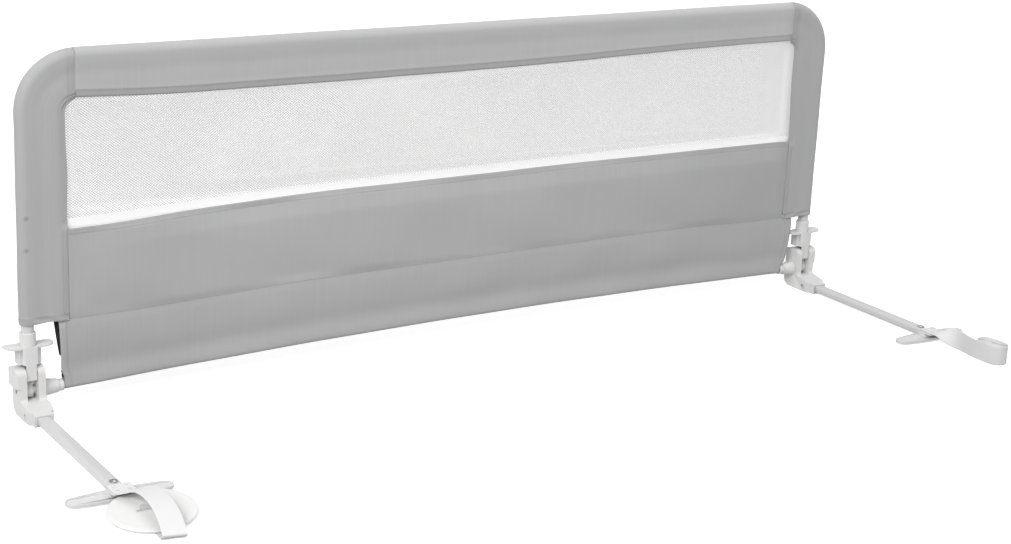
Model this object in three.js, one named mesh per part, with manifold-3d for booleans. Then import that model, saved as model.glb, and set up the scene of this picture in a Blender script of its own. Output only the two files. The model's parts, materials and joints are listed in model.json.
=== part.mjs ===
// Folding bed guard rail: a steel frame in a cloth cover that folds down on two hinge brackets.
// Millimetres, +Z up. X runs along the rail. The arms reach towards -Y, under the mattress.
import * as THREE from 'three';
import { mergeVertices } from 'three/addons/utils/BufferGeometryUtils.js';
import Module from 'manifold-3d';

const wasm = await Module();
wasm.setup();

// Driving dimensions
const legSpacing = 1480; // between the axes of the two upright legs
const railHeight = 533.5; // from the floor to the top of the cover
const pivotHeight = 35.5; // hinge axis above the floor
const slack = 0.3; // gap kept between pieces that touch
const overrun = 1; // how far a cutting tool runs past the face that it cuts

const cloth = { thickness: 0.9, room: 1.6, halfDepth: 10.5, seam: 0.3 };
const frameTube = { diameter: 19, wall: 1.2, bendRadius: 80, joint: 257, topJoint: 370, neckLength: 46 };
const coverRadius = frameTube.diameter / 2 + cloth.room + cloth.thickness;
const topAxis = railHeight - coverRadius;
const legX = legSpacing / 2;

const bracket = {
  width: 39, depth: 36, slotWidth: 17, slotFloor: 24, heelRadius: 21, edgeRadius: 5,
  shoulderRise: 37, shoulderDrop: 25, shoulderWidth: 18, crownRise: 38.5,
  padWidth: 5.8, padRise: 9, reach: 62, noseWidth: 28, noseHeight: 17, taperStart: 42, taperEnd: 52,
  rootHeight: 24, rootLength: 6, toeChamfer: 1.5,
  recessRadius: 5, recessDepth: 4.5, screwReach: 36, screwRecessRadius: 4.4, screwRecessDepth: 5,
  socketDepth: 38,
};
const pivotBolt = {
  radius: 3, headRadius: 4.6, headHeight: 3, hexAcross: 10, nutHeight: 4.6, keyAcross: 4, keyDepth: 1.6,
};
const armScrew = { radius: 2, headRadius: 3.2, headHeight: 2.4, slotWidth: 0.9, slotDepth: 0.8 };
const barSocket = {
  rootRadius: 14, mouthRadius: 10.5, length: 22.5, bore: 7, flange: 2, notchLength: 5, notchWidth: 7,
  notchDepth: 3,
};

const post = {
  radius: 12, neckRadius: 10, neckTop: 100, top: 125, spigotRadius: 8, spigotLength: 50,
  chamfer: 1.6, bladeThickness: 10.8, bladeHalfDepth: 10.5, bossRadius: 11, bladeTop: 77.6,
  coreRadius: 2,
};
const spacerRadius = 6.5;
const collar = {
  bottom: 78, top: 104.5, frontWidth: 24, frontDepth: 30, sideWidth: 35, sideDepth: 18,
  cornerRadius: 4, ledge: 2.5, span: 75, wingDepth: 25, wingThickness: 3, wingUpturn: 2.4,
  wingRoot: 14, wingCurveShare: 0.6, tongueWidth: 15, tongueBottom: 54, tongueDepth: 3.7,
};
const lockSpring = { wireRadius: 0.55, turns: 4 };

const button = {
  radius: 3, proud: 0.8, offset: 18.5, flangeRadius: 3.6, flangeLength: 1, inner: 4,
};
const connector = { wall: 1.4, length: 96 };

const crossbar = {
  diameter: 12, wall: 1, bow: 13.2, straightEnd: 46, capRadius: 9, capLength: 8,
};
const cover = {
  hem: 137, seamArch: 8.5, bandWidth: 61.5, topBandInset: 76, topBandDrop: 74.5, flapGap: 1.4,
  waistShare: 0.45,
};
const windowHeight = 175;
const windowTop = railHeight - cover.topBandDrop;
const window = {
  halfLength: legX - cover.bandWidth, bottom: windowTop - windowHeight, top: windowTop,
  tapeWidth: 12, cloth: 0.5,
};
// Inset of the flap's ends from the legs: clear of the bracket, the socket and the crossbar's cap
const flapEdge = bracket.width / 2 + barSocket.length + crossbar.capLength + 2 * slack + cover.flapGap;
const closureTape = { shown: 14, hidden: 16, bottom: 52, thickness: 0.7 };

const arm = { width: 20, height: 12, corner: 4, wall: 1.2, axis: 8.5, reach: 332, inset: 24 };
// Foot, strap and disc sizes along Y are measured from the arm's outer end
const foot = {
  span: 151, chord: 35, tipRadius: 12.5, top: 7.2, thickness: 3.7, centre: 11, hubWidth: 36,
  hubFront: 18, hubTop: 15.4, cornerRadius: 4, tongueFront: 30, tongueThickness: 2.4,
  plugLength: 26, plugGap: 0.4, ribHeight: 0.9, ribWidth: 2.2, ribInset: 6, screwInset: 11,
};
const footScrew = {
  radius: 2, headRadius: 4.2, headHeight: 1.8, domeShare: 0.8, washerRadius: 6, washerHeight: 1,
};

const strap = { width: 32, thickness: 1.2, start: 2 };
const rivet = {
  radius: 1.3, headRadius: 2.6, proud: 0.9, domeShare: 0.33, spread: 8.5, near: 9, far: 23, margin: 1.4,
};
const disc = {
  radius: 59, thickness: 3, rimInset: 1, offset: 15, centre: 82, lowest: 2, riseX: 0.0405,
  riseY: 0.0525, slotLength: 36, slotWidth: 5, slotOffset: 5.5,
};
const strapHeight = foot.hubTop + slack + strap.thickness / 2;
const strapSteps = 52;
// Each strap lies flat on its foot as far as this
const flatReach = rivet.far + rivet.headRadius + rivet.margin;

// The left strap arches over the disc and comes back under it, up through its slot.
// Rows: shares of the disc's offset, of the way to the reach, of the height and of a quarter turn
const loop = { reach: 164, arch: 11.8, lip: 7.6, floorGap: 0.2 };
const overShares = [
  [0.1, 0.044, 0.068, 0.089], [0.4, 0.095, 0.34, 0.167], [0.75, 0.153, 0.68, 0.167],
  [1.03, 0.226, 0.93, 0.111], [1.2, 0.343, 1, 0.022], [1.22, 0.511, 0.966, -0.044],
  [1.15, 0.679, 0.636, -0.089], [1, 0.839, 0.06, -0.111], [0.8, 0.949, -0.4, -0.122],
];
const lipShares = [
  [0.7, 1, 1, -0.133], [0.7, 0.979, 0.25, -0.133], [0.733, 0.921, 0.013, -0.111],
  [0.82, 0.799, 0, -0.089], [0.9, 0.659, 0, -0.044], [0.96, 0.537, 0.04, 0],
];
const slotShares = [[0.03, 0.18, 0], [0.3, 0.015, 0], [0.7, 0, 0], [1, 0.08, 0]];
const slotRise = { run: 14, height: 16 };

// The right strap turns onto its edge as it runs into the roll.
// Rows: shares of the swing sideways, of the run and of the lift, then bank and turn in quarter turns
const lead = { swing: 4.6, run: 120, lift: 4 };
const leadShares = [
  [0.043, 0.052, 0.3, 0.04, 0.02], [0.25, 0.135, 0.8, 0.2, 0.05], [0.65, 0.239, 0.75, 0.44, 0.067],
  [0.96, 0.348, 0.4, 0.66, 0.03], [1, 0.471, 0.1, 0.84, -0.03], [0.652, 0.6, 0, 0.96, -0.089],
  [0.13, 0.731, 0, 1, -0.111], [-0.435, 0.871, 0, 1, -0.1], [-0.804, 1, 0, 1, -0.067],
];
const roll = { turns: 8, pitch: 2, outerRadius: 18.4, straight: 21, offset: 14, centre: 140 };
const rollSquareness = 1.6;

const white = { color: 0xe9e9e7, roughness: 0.5, metalness: 0 };
const steel = { color: 0xeeeeec, roughness: 0.35, metalness: 0.1 };
const zinc = { color: 0x8f9194, roughness: 0.35, metalness: 0.9 };
const greyCloth = { color: 0xa9a9aa, roughness: 0.9, metalness: 0 };
const bandCloth = { color: 0xb2b2b3, roughness: 0.9, metalness: 0 };
const net = { color: 0xe4e4e4, roughness: 0.9, metalness: 0 };
const darkTape = { color: 0x242424, roughness: 0.95, metalness: 0 };

// How many straight steps stand for a circle, a corner or a bend
const [tubeSteps, smallSteps, holeSteps, roundSteps, wireSteps, discSteps] = [20, 12, 8, 20, 6, 40];
const [bendSteps, barSteps, wingSteps, cornerSteps, curveSteps, edgeSteps] = [7, 10, 3, 2, 6, 5];
const [planSteps, arcSteps, hemSteps, coilSteps] = [3, 12, 6, 24];

// Solids: closed meshes are joined and cut as manifolds
function bare(geometry) {
  geometry.deleteAttribute('normal');
  geometry.deleteAttribute('uv');
  return mergeVertices(geometry, 1e-4);
}

function toSolid(geometry) {
  const merged = bare(geometry.clone());
  return new wasm.Manifold(new wasm.Mesh({
    numProp: 3,
    vertProperties: new Float32Array(merged.attributes.position.array),
    triVerts: new Uint32Array(merged.index.array),
  }));
}

function toGeometry(solid) {
  const mesh = solid.getMesh();
  const geometry = new THREE.BufferGeometry();
  geometry.setAttribute('position', new THREE.BufferAttribute(new Float32Array(mesh.vertProperties), 3));
  geometry.setIndex(new THREE.BufferAttribute(new Uint32Array(mesh.triVerts), 1));
  return geometry;
}

function join(...geometries) {
  return toGeometry(geometries.map(toSolid).reduce((sum, solid) => sum.add(solid)));
}

function cut(base, ...tools) {
  return toGeometry(tools.map(toSolid).reduce((rest, tool) => rest.subtract(tool), toSolid(base)));
}

function common(a, b) {
  return toGeometry(toSolid(a).intersect(toSolid(b)));
}

// Extrusions of a flat outline along each axis
function alongZ(shape, from, to, curveSegments = curveSteps) {
  const options = { depth: to - from, bevelEnabled: false, curveSegments };
  return new THREE.ExtrudeGeometry(shape, options).translate(0, 0, from);
}

// The outline is drawn in (y, z)
function alongX(shape, from, to, curveSegments = curveSteps) {
  const turn = new THREE.Matrix4().makeBasis(
    new THREE.Vector3(0, 1, 0), new THREE.Vector3(0, 0, 1), new THREE.Vector3(1, 0, 0));
  return alongZ(shape, from, to, curveSegments).applyMatrix4(turn);
}

// The outline is drawn in (x, z)
function alongY(shape, from, to, curveSegments = curveSteps) {
  return alongZ(shape, -to, -from, curveSegments).rotateX(Math.PI / 2);
}

function roundedRectangle(width, height, radius, x = 0, y = 0) {
  const [left, right, low, high] = [x - width / 2, x + width / 2, y - height / 2, y + height / 2];
  const shape = new THREE.Shape();
  shape.moveTo(left + radius, low);
  shape.lineTo(right - radius, low);
  shape.absarc(right - radius, low + radius, radius, -Math.PI / 2, 0);
  shape.lineTo(right, high - radius);
  shape.absarc(right - radius, high - radius, radius, 0, Math.PI / 2);
  shape.lineTo(left + radius, high);
  shape.absarc(left + radius, high - radius, radius, Math.PI / 2, Math.PI);
  shape.lineTo(left, low + radius);
  shape.absarc(left + radius, low + radius, radius, Math.PI, 1.5 * Math.PI);
  return shape;
}

function polygon(points) {
  return new THREE.Shape(points.map(([a, b]) => new THREE.Vector2(a, b)));
}

function box(xFrom, xTo, yFrom, yTo, zFrom, zTo) {
  const geometry = new THREE.BoxGeometry(xTo - xFrom, yTo - yFrom, zTo - zFrom);
  return geometry.translate((xFrom + xTo) / 2, (yFrom + yTo) / 2, (zFrom + zTo) / 2);
}

function cylinderX(radius, from, to, y, z, count = smallSteps) {
  const geometry = new THREE.CylinderGeometry(radius, radius, to - from, count);
  return geometry.rotateZ(Math.PI / 2).translate((from + to) / 2, y, z);
}

function cylinderY(radius, from, to, x, z, count = smallSteps) {
  const geometry = new THREE.CylinderGeometry(radius, radius, to - from, count);
  return geometry.translate(x, (from + to) / 2, z);
}

function cylinderZ(radius, from, to, x, y, count = smallSteps) {
  const geometry = new THREE.CylinderGeometry(radius, radius, to - from, count);
  return geometry.rotateX(Math.PI / 2).translate(x, y, (from + to) / 2);
}

// A turned piece about the Z axis: points are (radius, z), from the axis back to the axis
function turned(points, count = roundSteps) {
  const profile = points.map(([radius, z]) => new THREE.Vector2(radius, z));
  return new THREE.LatheGeometry(profile, count).rotateX(Math.PI / 2);
}

function hexagonX(across, from, to, y, z) {
  const geometry = new THREE.CylinderGeometry(across / Math.sqrt(3), across / Math.sqrt(3), to - from, 6);
  return geometry.rotateZ(Math.PI / 2).translate((from + to) / 2, y, z);
}

// A closed solid from quads and triangles of listed points, with its faces turned outwards
function solidFrom(points, triangles) {
  const geometry = new THREE.BufferGeometry();
  geometry.setAttribute('position', new THREE.Float32BufferAttribute(points.flatMap((p) => p.toArray()), 3));
  const volume = triangles.reduce((sum, [a, b, c]) => (
    sum + points[a].dot(new THREE.Vector3().crossVectors(points[b], points[c]))), 0);
  const ordered = volume < 0 ? triangles.map(([a, b, c]) => [a, c, b]) : triangles;
  geometry.setIndex(ordered.flat());
  return geometry;
}

// A sheet with two faces, each a grid of rows of points, closed round its edge
function sheetSolid(front, back) {
  const rows = front.length;
  const columns = front[0].length;
  const points = [...front.flat(), ...back.flat()];
  const at = (side, row, column) => side * rows * columns + row * columns + column;
  const triangles = [];
  const quad = (a, b, c, d) => triangles.push([a, b, c], [a, c, d]);
  for (let r = 0; r + 1 < rows; r += 1) {
    for (let c = 0; c + 1 < columns; c += 1) {
      quad(at(0, r, c), at(0, r, c + 1), at(0, r + 1, c + 1), at(0, r + 1, c));
      quad(at(1, r, c), at(1, r + 1, c), at(1, r + 1, c + 1), at(1, r, c + 1));
    }
    quad(at(0, r, 0), at(0, r + 1, 0), at(1, r + 1, 0), at(1, r, 0));
    const last = columns - 1;
    quad(at(0, r + 1, last), at(0, r, last), at(1, r, last), at(1, r + 1, last));
  }
  for (let c = 0; c + 1 < columns; c += 1) {
    quad(at(0, 0, c + 1), at(0, 0, c), at(1, 0, c), at(1, 0, c + 1));
    quad(at(0, rows - 1, c), at(0, rows - 1, c + 1), at(1, rows - 1, c + 1), at(1, rows - 1, c));
  }
  return solidFrom(points, triangles);
}

// A hollow tube whose axis lies in the XZ plane: stations are {x, z, angle}, angle being the axis's slope
function pipe(stations, outer, inner, outerSides = tubeSteps, innerSides = tubeSteps) {
  const ring = (station, radius, count, k) => {
    const turn = (2 * Math.PI * k) / count;
    const across = radius * Math.cos(turn);
    return new THREE.Vector3(
      station.x - across * Math.sin(station.angle), radius * Math.sin(turn),
      station.z + across * Math.cos(station.angle));
  };
  const tube = (radius, count) => {
    const points = stations.flatMap((station) => (
      Array.from({ length: count }, (_, k) => ring(station, radius, count, k))));
    const triangles = [];
    for (let s = 0; s + 1 < stations.length; s += 1) {
      const [near, far] = [s * count, (s + 1) * count];
      for (let k = 0; k < count; k += 1) {
        const next = (k + 1) % count;
        triangles.push([near + k, near + next, far + next], [near + k, far + next, far + k]);
      }
    }
    for (let k = 1; k + 1 < count; k += 1) {
      const end = (stations.length - 1) * count;
      triangles.push([0, k + 1, k], [end, end + k, end + k + 1]);
    }
    return solidFrom(points, triangles);
  };
  if (!inner) return tube(outer, outerSides);
  const bore = tube(inner, innerSides);
  const lengthen = (from, to, by) => {
    const [dx, dz] = [from.x - to.x, from.z - to.z];
    const scale = by / Math.hypot(dx, dz);
    return { x: from.x + dx * scale, z: from.z + dz * scale, angle: from.angle };
  };
  const first = lengthen(stations[0], stations[1], overrun);
  const lastTwo = stations.slice(-2);
  const last = lengthen(lastTwo[1], lastTwo[0], overrun);
  const startPlug = pipe([first, stations[1]], inner, 0, innerSides);
  const endPlug = pipe([lastTwo[0], last], inner, 0, innerSides);
  return cut(tube(outer, outerSides), bore, startPlug, endPlug);
}

function straightTube(outer, inner, from, to) {
  const ring = new THREE.Shape().absarc(0, 0, outer, 0, 2 * Math.PI);
  ring.holes.push(new THREE.Path().absarc(0, 0, inner, 0, 2 * Math.PI, true));
  return alongZ(ring, from, to, tubeSteps / 2);
}

function mirrored(geometry) {
  const flipped = bare(geometry.clone()).scale(-1, 1, 1);
  const index = flipped.index.array;
  for (let i = 0; i < index.length; i += 3) [index[i + 1], index[i + 2]] = [index[i + 2], index[i + 1]];
  return flipped;
}

function blend(a, b, share) {
  return a + (b - a) * share;
}

// The cover's outline, shared by the crossbar, the flap and the lower panels
function bowAt(x) {
  const share = Math.min(Math.abs(x) / (legX - crossbar.straightEnd), 1);
  return crossbar.bow * (1 - share * share);
}

function seamAt(x) {
  const share = Math.min(Math.abs(x) / window.halfLength, 1);
  return cover.hem + cloth.seam + cover.seamArch * (1 - share * share);
}

// Hinge bracket: two cheeks on a foot that holds the arm
function bracketSideOutline() {
  const half = bracket.depth / 2;
  const heel = bracket.heelRadius;
  const [shoulder, top] = [pivotHeight + bracket.shoulderDrop, pivotHeight + bracket.shoulderRise];
  const inset = bracket.shoulderWidth / 2;
  const shape = new THREE.Shape();
  shape.moveTo(-bracket.reach + bracket.toeChamfer, 0);
  shape.lineTo(half - heel, 0);
  shape.absarc(half - heel, heel, heel, -Math.PI / 2, 0);
  shape.lineTo(half, shoulder);
  shape.quadraticCurveTo(half, top - bracket.toeChamfer, half - inset, top);
  shape.quadraticCurveTo(0, pivotHeight + bracket.crownRise, inset - half, top);
  shape.quadraticCurveTo(-half, top - bracket.toeChamfer, -half, shoulder);
  shape.lineTo(-half, bracket.rootHeight + bracket.rootLength);
  shape.quadraticCurveTo(-half, bracket.rootHeight, -half - bracket.rootLength, bracket.rootHeight);
  shape.lineTo(-bracket.reach, bracket.noseHeight);
  shape.lineTo(-bracket.reach, bracket.toeChamfer);
  return shape;
}

function bracketPlanOutline() {
  const [half, nose, edge] = [bracket.width / 2, bracket.noseWidth / 2, bracket.edgeRadius];
  const back = bracket.depth / 2;
  const shape = new THREE.Shape();
  shape.moveTo(-nose, -bracket.reach - overrun);
  shape.lineTo(nose, -bracket.reach - overrun);
  shape.lineTo(nose, -bracket.taperEnd);
  shape.quadraticCurveTo(half, -bracket.taperEnd, half, -bracket.taperStart);
  shape.lineTo(half, back - edge);
  shape.quadraticCurveTo(half, back + slack, half - edge, back + slack);
  shape.lineTo(edge - half, back + slack);
  shape.quadraticCurveTo(-half, back + slack, -half, back - edge);
  shape.lineTo(-half, -bracket.taperStart);
  shape.quadraticCurveTo(-half, -bracket.taperEnd, -nose, -bracket.taperEnd);
  return shape;
}

function armBore(gap, from, to) {
  const outline = roundedRectangle(arm.width + 2 * gap, arm.height + 2 * gap, arm.corner + gap, 0, arm.axis);
  return alongY(outline, from, to, cornerSteps);
}

// The thick upper part of the outer cheek
function bracketPad() {
  const outer = bracket.width / 2 + bracket.padWidth;
  const outline = roundedRectangle(outer, bracket.depth, bracket.edgeRadius, -outer / 2, 0);
  return alongZ(outline, pivotHeight + bracket.padRise, railHeight, planSteps);
}

function bracketGeometry() {
  const half = bracket.width / 2;
  const body = common(
    alongX(bracketSideOutline(), -half - bracket.padWidth - overrun, half + overrun, curveSteps),
    join(alongZ(bracketPlanOutline(), -overrun, railHeight, planSteps), bracketPad()));
  const slot = bracket.slotWidth / 2;
  const screwHole = [-bracket.screwReach, arm.axis];
  return cut(
    body,
    box(-slot, slot, -bracket.depth, bracket.depth, bracket.slotFloor, railHeight),
    cylinderX(bracket.recessRadius, -half - overrun, -half + bracket.recessDepth, 0, pivotHeight, tubeSteps),
    cylinderX(pivotBolt.radius + slack, -half - overrun, half + overrun, 0, pivotHeight),
    armBore(slack, -bracket.reach - overrun, -bracket.reach + bracket.socketDepth),
    cylinderX(armScrew.radius + slack, -half - overrun, half + overrun, ...screwHole),
    cylinderX(bracket.screwRecessRadius, -half - overrun, -half + bracket.screwRecessDepth, ...screwHole),
    cylinderX(bracket.screwRecessRadius, half - bracket.screwRecessDepth, half + overrun, ...screwHole));
}

function pivotBoltGeometry() {
  const seat = -bracket.width / 2 + bracket.recessDepth - slack;
  const end = bracket.width / 2 + pivotBolt.nutHeight + slack;
  const head = cylinderX(pivotBolt.headRadius, seat - pivotBolt.headHeight, seat, 0, pivotHeight, tubeSteps);
  const shank = cylinderX(pivotBolt.radius, seat - pivotBolt.keyDepth, end, 0, pivotHeight);
  const keyFace = seat - pivotBolt.headHeight;
  const key = hexagonX(pivotBolt.keyAcross, keyFace - overrun, keyFace + pivotBolt.keyDepth, 0, pivotHeight);
  return cut(join(head, shank), key);
}

function pivotNutGeometry() {
  const face = bracket.width / 2 + slack;
  const blank = hexagonX(pivotBolt.hexAcross, face, face + pivotBolt.nutHeight, 0, pivotHeight);
  const bore = pivotBolt.radius + slack / 2;
  return cut(blank, cylinderX(bore, face - overrun, face + pivotBolt.nutHeight + overrun, 0, pivotHeight));
}

// Tapered socket on the inner cheek that the crossbar's end turns in
function barSocketGeometry() {
  const face = bracket.width / 2 + slack;
  const mouth = face + barSocket.length;
  const outline = turned([
    [0, face], [barSocket.rootRadius, face], [barSocket.rootRadius, face + barSocket.flange],
    [barSocket.rootRadius - barSocket.flange / 2, face + barSocket.flange + overrun],
    [barSocket.mouthRadius, mouth - barSocket.flange], [barSocket.mouthRadius, mouth], [0, mouth],
  ], tubeSteps).rotateY(Math.PI / 2).translate(0, 0, pivotHeight);
  const notchTop = pivotHeight + barSocket.rootRadius;
  const half = barSocket.notchWidth / 2;
  const notch = box(
    face + barSocket.flange, face + barSocket.flange + barSocket.notchLength, -half, half,
    notchTop - barSocket.notchDepth, notchTop + overrun);
  const bore = cylinderX(barSocket.bore, face - overrun, mouth + overrun, 0, pivotHeight);
  return cut(outline, bore, notch);
}

function armTubeGeometry() {
  const from = -arm.reach;
  const to = -arm.inset - slack;
  const { width, height, corner, wall, axis } = arm;
  const inside = roundedRectangle(width - 2 * wall, height - 2 * wall, corner - wall, 0, axis);
  return cut(
    armBore(0, from, to),
    alongY(inside, from - overrun, to + overrun, cornerSteps),
    cylinderX(armScrew.radius + slack, -arm.width, arm.width, -bracket.screwReach, arm.axis),
    cylinderZ(footScrew.radius + slack, 0, 2 * arm.axis + overrun, 0, foot.screwInset - arm.reach));
}

function armScrewGeometry() {
  const seat = -bracket.width / 2 + bracket.screwRecessDepth - slack;
  const face = seat - armScrew.headHeight;
  const [y, z] = [-bracket.screwReach, arm.axis];
  const body = join(
    cylinderX(armScrew.headRadius, face, seat, y, z),
    cylinderX(armScrew.radius, face + armScrew.slotDepth, bracket.width / 2 - armScrew.headHeight, y, z));
  const reach = armScrew.headRadius + overrun;
  const half = armScrew.slotWidth / 2;
  const slot = box(face - overrun, face + armScrew.slotDepth, y - half, y + half, z - reach, z + reach);
  return cut(body, slot);
}

// Foot: a winged bar plugged into the arm's end, with a tongue that the strap is riveted to
function wingOutline(inset = 0) {
  const [half, chord] = [foot.span / 2 - inset, foot.chord / 2 - inset];
  const tip = foot.tipRadius - inset;
  const y = -foot.centre;
  const shape = new THREE.Shape();
  shape.moveTo(-half + tip, y - tip);
  shape.quadraticCurveTo(-half / 2, y - chord, 0, y - chord);
  shape.quadraticCurveTo(half / 2, y - chord, half - tip, y - tip);
  shape.absarc(half - tip, y, tip, -Math.PI / 2, Math.PI / 2);
  shape.quadraticCurveTo(half / 2, y + chord, 0, y + chord);
  shape.quadraticCurveTo(-half / 2, y + chord, -half + tip, y + tip);
  shape.absarc(-half + tip, y, tip, Math.PI / 2, 1.5 * Math.PI);
  return shape;
}

function footGeometry() {
  const wingTop = foot.top - foot.ribHeight;
  const rim = cut(
    alongZ(wingOutline(), wingTop - overrun, foot.top, wingSteps),
    alongZ(wingOutline(foot.ribWidth), wingTop - 2 * overrun, foot.top + overrun, wingSteps));
  const ribHalf = foot.ribWidth / 2;
  const ribs = [-foot.ribInset, foot.ribInset].map((y) => common(
    box(-foot.span, foot.span, -foot.centre + y - ribHalf, -foot.centre + y + ribHalf,
      wingTop - overrun, foot.top - slack),
    alongZ(wingOutline(foot.ribWidth), wingTop - overrun, foot.top, wingSteps)));
  const rear = -slack;
  const block = (front, bottom) => alongZ(
    roundedRectangle(foot.hubWidth, front + rear, foot.cornerRadius, 0, (rear - front) / 2),
    bottom, foot.hubTop, cornerSteps);
  const body = join(
    block(foot.hubFront, 0),
    block(foot.tongueFront, foot.hubTop - foot.tongueThickness),
    alongZ(wingOutline(), foot.top - foot.thickness, wingTop, wingSteps),
    rim, ...ribs);
  const armRoom = box(
    -arm.width / 2 - slack, arm.width / 2 + slack, rear, foot.chord, -overrun, railHeight);
  const wall = arm.wall + foot.plugGap;
  const plugOutline = roundedRectangle(
    arm.width - 2 * wall, arm.height - 2 * wall, arm.corner - wall, 0, arm.axis);
  const plug = alongY(plugOutline, rear - overrun, foot.plugLength, cornerSteps);
  const screwHole = cylinderZ(footScrew.radius + slack, -overrun, foot.hubTop, 0, foot.screwInset);
  const rivetHoles = rivetPlaces().map(([x, y]) => cylinderZ(
    rivet.radius + slack / 2, foot.hubTop - foot.tongueThickness - overrun, railHeight, x, y, holeSteps));
  return cut(join(cut(body, armRoom), plug), screwHole, ...rivetHoles);
}

function rivetPlaces() {
  const { spread, near, far } = rivet;
  return [[-spread, -near], [spread, -near], [-spread, -far], [spread, -far]];
}

function footScrewGeometry() {
  const seat = arm.axis + arm.height / 2 + slack;
  const end = arm.axis - arm.height / 2;
  return turned([
    [0, end], [footScrew.radius, end], [footScrew.radius, seat], [footScrew.washerRadius, seat],
    [footScrew.washerRadius, seat + footScrew.washerHeight],
    [footScrew.headRadius, seat + footScrew.washerHeight],
    [footScrew.headRadius * footScrew.domeShare,
      seat + footScrew.washerHeight + footScrew.headHeight * footScrew.domeShare],
    [0, seat + footScrew.washerHeight + footScrew.headHeight],
  ], smallSteps).translate(0, foot.screwInset, 0);
}

// Hinge post: a blade between the cheeks, a neck for the lock spring and a spigot for the leg
function postGeometry() {
  const blade = new THREE.Shape();
  const [half, boss] = [post.bladeHalfDepth, post.bossRadius];
  const joinAngle = Math.acos(half / boss);
  blade.moveTo(-half, post.bladeTop);
  blade.absarc(0, pivotHeight, boss, Math.PI - joinAngle, 2 * Math.PI + joinAngle);
  blade.lineTo(half, post.bladeTop);
  const outer = -bracket.slotWidth / 2 + slack + slack / 2;
  const turnedPart = turned([
    [0, post.bladeTop - overrun], [post.coreRadius, post.bladeTop - overrun],
    [post.coreRadius, post.bladeTop], [post.neckRadius, post.bladeTop],
    [post.neckRadius, post.neckTop], [post.radius, post.neckTop],
    [post.radius, post.top - post.chamfer], [post.radius - post.chamfer, post.top],
    [post.spigotRadius, post.top], [post.spigotRadius, post.top + post.spigotLength - post.chamfer],
    [post.spigotRadius - post.chamfer, post.top + post.spigotLength], [0, post.top + post.spigotLength],
  ]);
  const footprint = alongZ(
    roundedRectangle(post.bladeThickness, 2 * half, post.chamfer, outer + post.bladeThickness / 2, 0),
    post.bladeTop - 2 * overrun, post.bladeTop);
  return cut(
    join(alongX(blade, outer, outer + post.bladeThickness, tubeSteps / 2), footprint, turnedPart),
    cylinderX(pivotBolt.radius + slack, -bracket.width, bracket.width, 0, pivotHeight));
}

function spacerGeometry() {
  const from = -bracket.slotWidth / 2 + slack + slack / 2 + post.bladeThickness + slack;
  const to = bracket.slotWidth / 2 - slack;
  return cut(
    cylinderX(spacerRadius, from, to, 0, pivotHeight, tubeSteps),
    cylinderX(pivotBolt.radius + slack, from - overrun, to + overrun, 0, pivotHeight));
}

// Lock collar: slides up the post by its two wings
function collarGeometry() {
  const { bottom, top, wingThickness, wingRoot, wingDepth, span, wingUpturn } = collar;
  const front = roundedRectangle(collar.frontWidth, collar.frontDepth, collar.cornerRadius);
  const sides = roundedRectangle(collar.sideWidth, collar.sideDepth, collar.cornerRadius / 2);
  const body = join(
    alongZ(front, bottom, top, cornerSteps), alongZ(sides, bottom, top, cornerSteps));
  const half = span / 2;
  const low = top - wingThickness;
  const tip = top + wingUpturn - wingThickness / 3;
  const bend = blend(wingRoot, half, collar.wingCurveShare);
  const strip = new THREE.Shape();
  strip.moveTo(-wingRoot, low);
  strip.lineTo(wingRoot, low);
  strip.quadraticCurveTo(bend, low, half, low + wingUpturn);
  strip.lineTo(half, tip);
  strip.quadraticCurveTo(bend, top, wingRoot, top);
  strip.lineTo(-wingRoot, top);
  strip.quadraticCurveTo(-bend, top, -half, tip);
  strip.lineTo(-half, low + wingUpturn);
  strip.quadraticCurveTo(-bend, low, -wingRoot, low);
  const plan = roundedRectangle(span, wingDepth, wingDepth / 2 - slack);
  const wings = common(
    alongY(strip, -wingDepth, wingDepth, planSteps),
    alongZ(plan, low - overrun, top + wingUpturn + overrun, edgeSteps));
  const tongueHalf = collar.tongueWidth / 2;
  const face = -collar.frontDepth / 2;
  const tongue = box(
    -tongueHalf, tongueHalf, face, face + collar.tongueDepth, collar.tongueBottom, bottom + overrun);
  return cut(
    join(body, wings, tongue),
    cylinderZ(post.radius + slack, bottom + collar.ledge, top + overrun, 0, 0, roundSteps),
    cylinderZ(post.neckRadius + slack, bottom - overrun, top, 0, 0, roundSteps));
}

class Helix extends THREE.Curve {
  constructor(radius, bottom, top, turns) {
    super();
    Object.assign(this, { radius, bottom, top, turns });
  }

  getPoint(share, target = new THREE.Vector3()) {
    const angle = 2 * Math.PI * this.turns * share;
    return target.set(
      this.radius * Math.cos(angle), this.radius * Math.sin(angle), blend(this.bottom, this.top, share));
  }
}

function lockSpringGeometry() {
  const { wireRadius, turns } = lockSpring;
  const bottom = collar.bottom + collar.ledge + wireRadius + slack;
  const top = post.neckTop - wireRadius - slack;
  const radius = (post.neckRadius + post.radius + slack) / 2;
  const section = new THREE.Shape().absarc(0, 0, wireRadius, 0, 2 * Math.PI);
  const path = new Helix(radius, bottom, top, turns);
  return new THREE.ExtrudeGeometry(section, {
    extrudePath: path,
    steps: turns * smallSteps,
    curveSegments: wireSteps / 2,
    bevelEnabled: false,
  });
}

// Frame tubes
const tubeOuter = frameTube.diameter / 2;
const tubeInner = tubeOuter - frameTube.wall;
const connectorOuter = tubeInner - slack;
const connectorInner = connectorOuter - connector.wall;

function buttonHole(z) {
  return cylinderY(button.radius + slack, -frameTube.diameter, 0, 0, z);
}

function legGeometry() {
  const tube = straightTube(tubeOuter, tubeInner, post.top + slack, frameTube.joint - slack / 2);
  return cut(tube, buttonHole(frameTube.joint - button.offset));
}

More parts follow.
